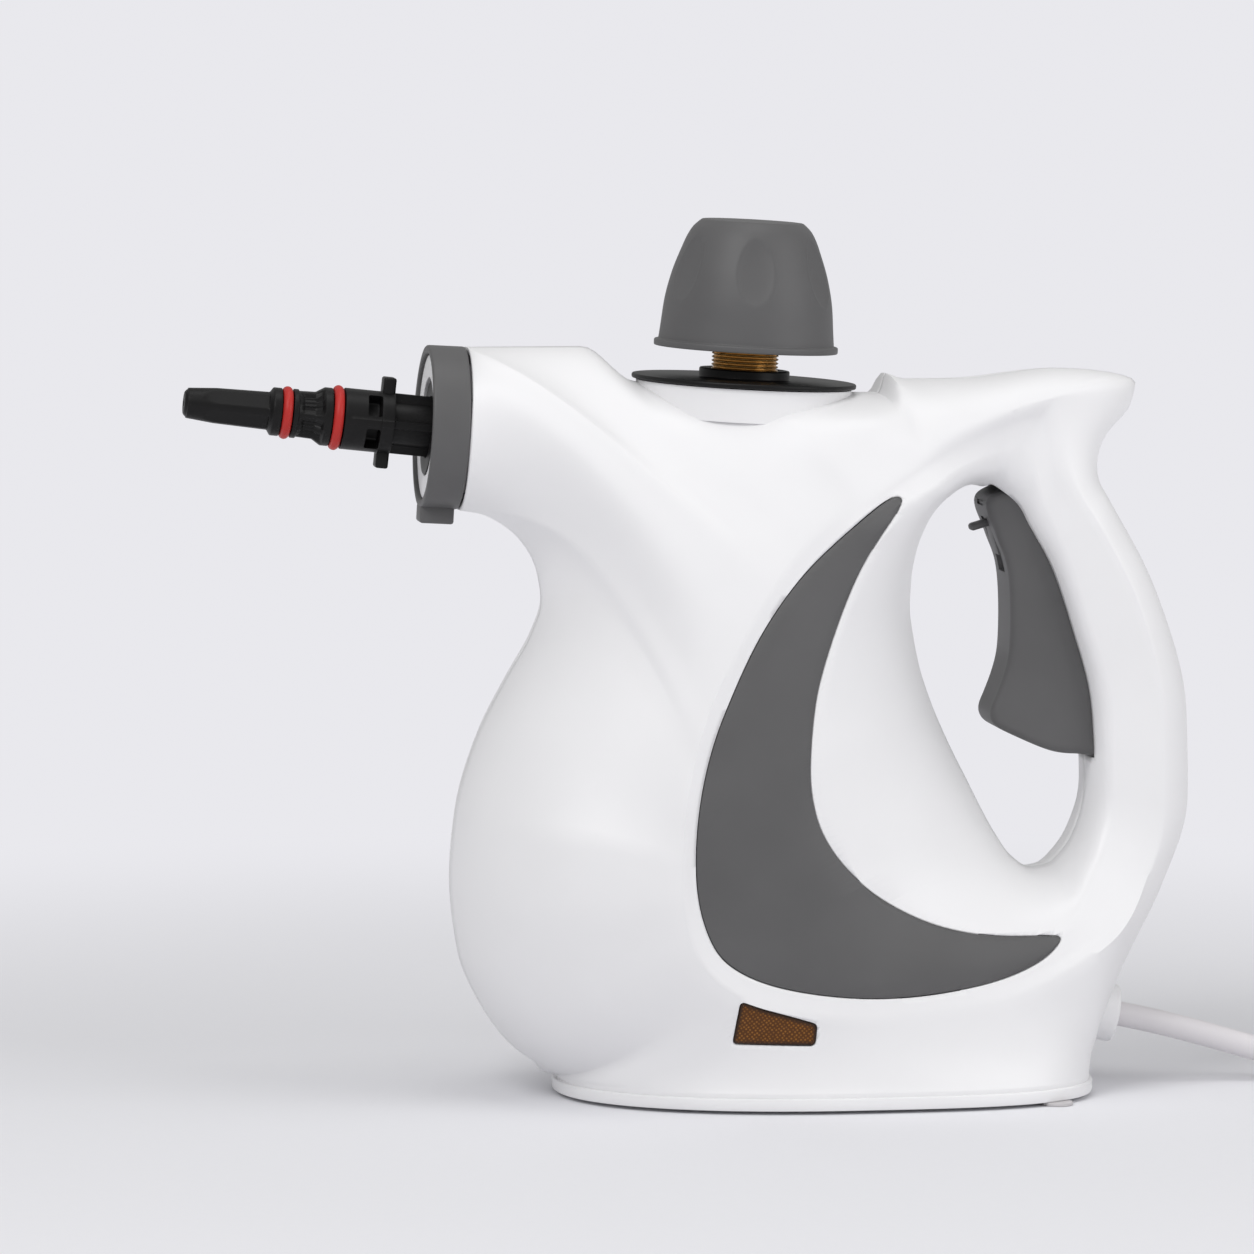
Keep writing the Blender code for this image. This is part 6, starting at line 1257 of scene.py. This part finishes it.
def cord_route():
    """Points of the cord from its bush through the coil to the plug, and its last direction."""
    step = 2 * CORD_RADIUS + COIL_SPARE
    outer = COIL_MEAN_RADIUS + COIL_TURNS_PER_LAYER * step / 2
    turns = COIL_LAYERS * COIL_TURNS_PER_LAYER + COIL_LAST_TURN
    per_turn = COIL_POINTS_PER_TURN * 3
    reversals = range(COIL_TURNS_PER_LAYER, COIL_LAYERS * COIL_TURNS_PER_LAYER, COIL_TURNS_PER_LAYER)
    coil = []
    for i in range(round(turns * per_turn) + 1):
        turn = i / per_turn
        layer, part = divmod(min(turn, turns - COIL_LAST_TURN - CLEARANCE), COIL_TURNS_PER_LAYER)
        inward = part if layer % 2 == 0 else COIL_TURNS_PER_LAYER - part
        inward -= max(turn - (turns - COIL_LAST_TURN), 0)
        climbed = sum(min(max(2 * (turn - at) + 0.5, 0), 1) for at in reversals)
        radius, angle = outer - step * inward, COIL_START + math.tau * turn
        coil.append(Vector((
            COIL_CENTRE[0] + radius * math.cos(angle), COIL_CENTRE[1] + radius * math.sin(angle),
            CORD_RADIUS + CLEARANCE + step * climbed)))
    angle = COIL_START + math.tau * turns
    last = Vector((-math.sin(angle), math.cos(angle), 0))
    low = coil[-1] + last * COIL_TAIL
    low.z = PLUG_BODY_RADIUS + CLEARANCE
    third = COIL_TAIL / 3
    tail = bezier(coil[-1], coil[-1] + last * third, low - last * third, low, 18)
    route = [Vector(p) for p in CORD_ROUTE[CORD_SHOWN_FROM:]]
    padded = [route[0], *route, route[-1]]
    points = [between(*padded[i:i + 4], k / 3) for i in range(len(route) - 1) for k in range(3)]
    return points + [route[-1], *coil, *tail, low + last * (2 * CORD_RADIUS)], last


def plug_pieces(place):
    """Plug with its ribbed relief and its two pins."""
    length = PLUG_TAIL_LENGTH + PLUG_BODY_LENGTH
    shoulder = PLUG_BODY_RADIUS - PLUG_TAIL_RADIUS / 2

    def grip(radius, height, _):
        if radius < PLUG_TAIL_RADIUS * 0.7 or height > PLUG_TAIL_LENGTH - PLUG_TAIL_RADIUS / 2:
            return radius
        return radius - PLUG_RIB_DEPTH * (0.5 + 0.5 * math.cos(math.tau * height / PLUG_RIB_PITCH))

    bm = lathe(
        ((0, length), (PLUG_BODY_RADIUS, length), (PLUG_BODY_RADIUS, PLUG_TAIL_LENGTH + PLUG_TAIL_RADIUS),
         (shoulder, PLUG_TAIL_LENGTH), (PLUG_TAIL_RADIUS, PLUG_TAIL_LENGTH - PLUG_TAIL_RADIUS / 2),
         (CORD_RADIUS + CLAMP_WALL / 2, 0), (0, 0)), place, 96, 0.0018, False, grip, 0.0006)
    made = [piece("plug_body", bm, "cord_white", angle=50)]
    foot = length + CLEARANCE
    for number, side in ((1, -1), (2, 1)):
        at = place @ Matrix.Translation((0, side * PLUG_PIN_SPACING / 2, 0))
        bm = lathe(((0, foot + PLUG_PIN_LENGTH), (PLUG_PIN_RADIUS, foot + PLUG_PIN_LENGTH),
                    (PLUG_PIN_RADIUS, foot), (0, foot)), at, 32, 0.0012, False)
        made.append(piece(f"plug_pin_{number}", bm, "steel"))
    return made


def cord_pieces():
    """Bush, cord in its stored route, and plug."""
    bore = CORD_RADIUS + CLEARANCE
    bm = lathe(
        ((BUSH_RADIUS, BUSH_PROUD), (BUSH_RADIUS, BUSH_PROUD - BUSH_LENGTH), (bore, BUSH_PROUD - BUSH_LENGTH),
         (bore, BUSH_PROUD)), CORD_EXIT, 96, 0.0012)
    piece("cord_bush", bm, "white_plastic")
    points, last = cord_route()
    curve = bpy.data.curves.new("mains_cord", "CURVE")
    curve.dimensions = "3D"
    curve.bevel_depth = CORD_RADIUS
    curve.bevel_resolution = 6
    curve.use_fill_caps = True
    spline = curve.splines.new("POLY")
    spline.points.add(len(points) - 1)
    for point, place in zip(spline.points, points):
        point.co = (*place, 1)
    spline.use_smooth = True
    curve.materials.append(PAINTS["cord_white"])
    cord = placed("mains_cord", curve)
    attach(cord, "body")
    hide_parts("cord", "cord_coil")
    turned = last.to_track_quat("Z", "Y").to_matrix().to_4x4()
    plug = plug_pieces(Matrix.Translation(points[-1] + last * CLEARANCE) @ turned)


# Stage
def stage():
    """Camera at the photograph's angle, three soft lamps, backdrop and floor."""
    camera = bpy.data.cameras.new("camera")
    camera.sensor_width = SENSOR
    camera.lens = SENSOR * (CAMERA_DISTANCE / PIXEL) / IMAGE
    camera.clip_end = 20
    view = scene.camera = placed("camera", camera)
    turn, rise = CAMERA_TURN, CAMERA_RISE
    away = Vector((math.sin(turn) * math.cos(rise), -math.cos(turn) * math.cos(rise), math.sin(rise)))
    view.location = CAMERA_AIM + away * CAMERA_DISTANCE
    view.rotation_euler = (-away).to_track_quat("-Z", "Y").to_euler()
    for name, place, power in LAMPS:
        light = bpy.data.lights.new(name, "AREA")
        light.size = LAMP_SIZE
        light.energy = power
        lamp = placed(name, light)
        lamp.location = place
        lamp.rotation_euler = (LAMP_AIM - Vector(place)).to_track_quat("-Z", "Y").to_euler()
    world = scene.world = bpy.data.worlds.new("studio")
    world.use_nodes = True
    tree = world.node_tree
    light = fill(tree.nodes["Background"], Color=(WORLD_LIGHT, WORLD_LIGHT, WORLD_LIGHT, 1))
    back = add(tree, "Background", Color=(*BACKDROP, 1))
    ray = add(tree, "LightPath")
    most = add(tree, "Math", {"operation": "MAXIMUM"})
    both = add(tree, "MixShader")
    join(tree, (ray, "Is Camera Ray", most, 0), (ray, "Is Transmission Ray", most, 1),
         (most, "Value", both, "Fac"), (light, "Background", both, 1), (back, "Background", both, 2),
         (both, "Shader", tree.nodes["World Output"], "Surface"))
    rings = [(FLOOR_REACH * i / FLOOR_RINGS, 0) for i in range(FLOOR_RINGS + 1)]
    bm = lathe(rings, Matrix.Identity(4), fillet=0, closed=False)
    placed("floor", mesh_from(bm, "floor", floor_material()))
    scene.view_settings.view_transform = "Standard"


def paint_nodes():
    """Finish of the CAD nodes that keep their own shape."""
    slots = {s["node"]: s["material_slot"] for s in frame["record"]["subparts"]}
    for name, node in frame["nodes"].items():
        node.data.materials.clear()
        node.data.materials.append(PAINTS[slots[name]])


for build in (skin_pieces, lamp_window, paint_nodes, stage, cord_pieces, barrel_pieces, nozzle_pieces,
              filler_pieces, cap_pieces, trigger_pieces, foot_pieces):
    build()
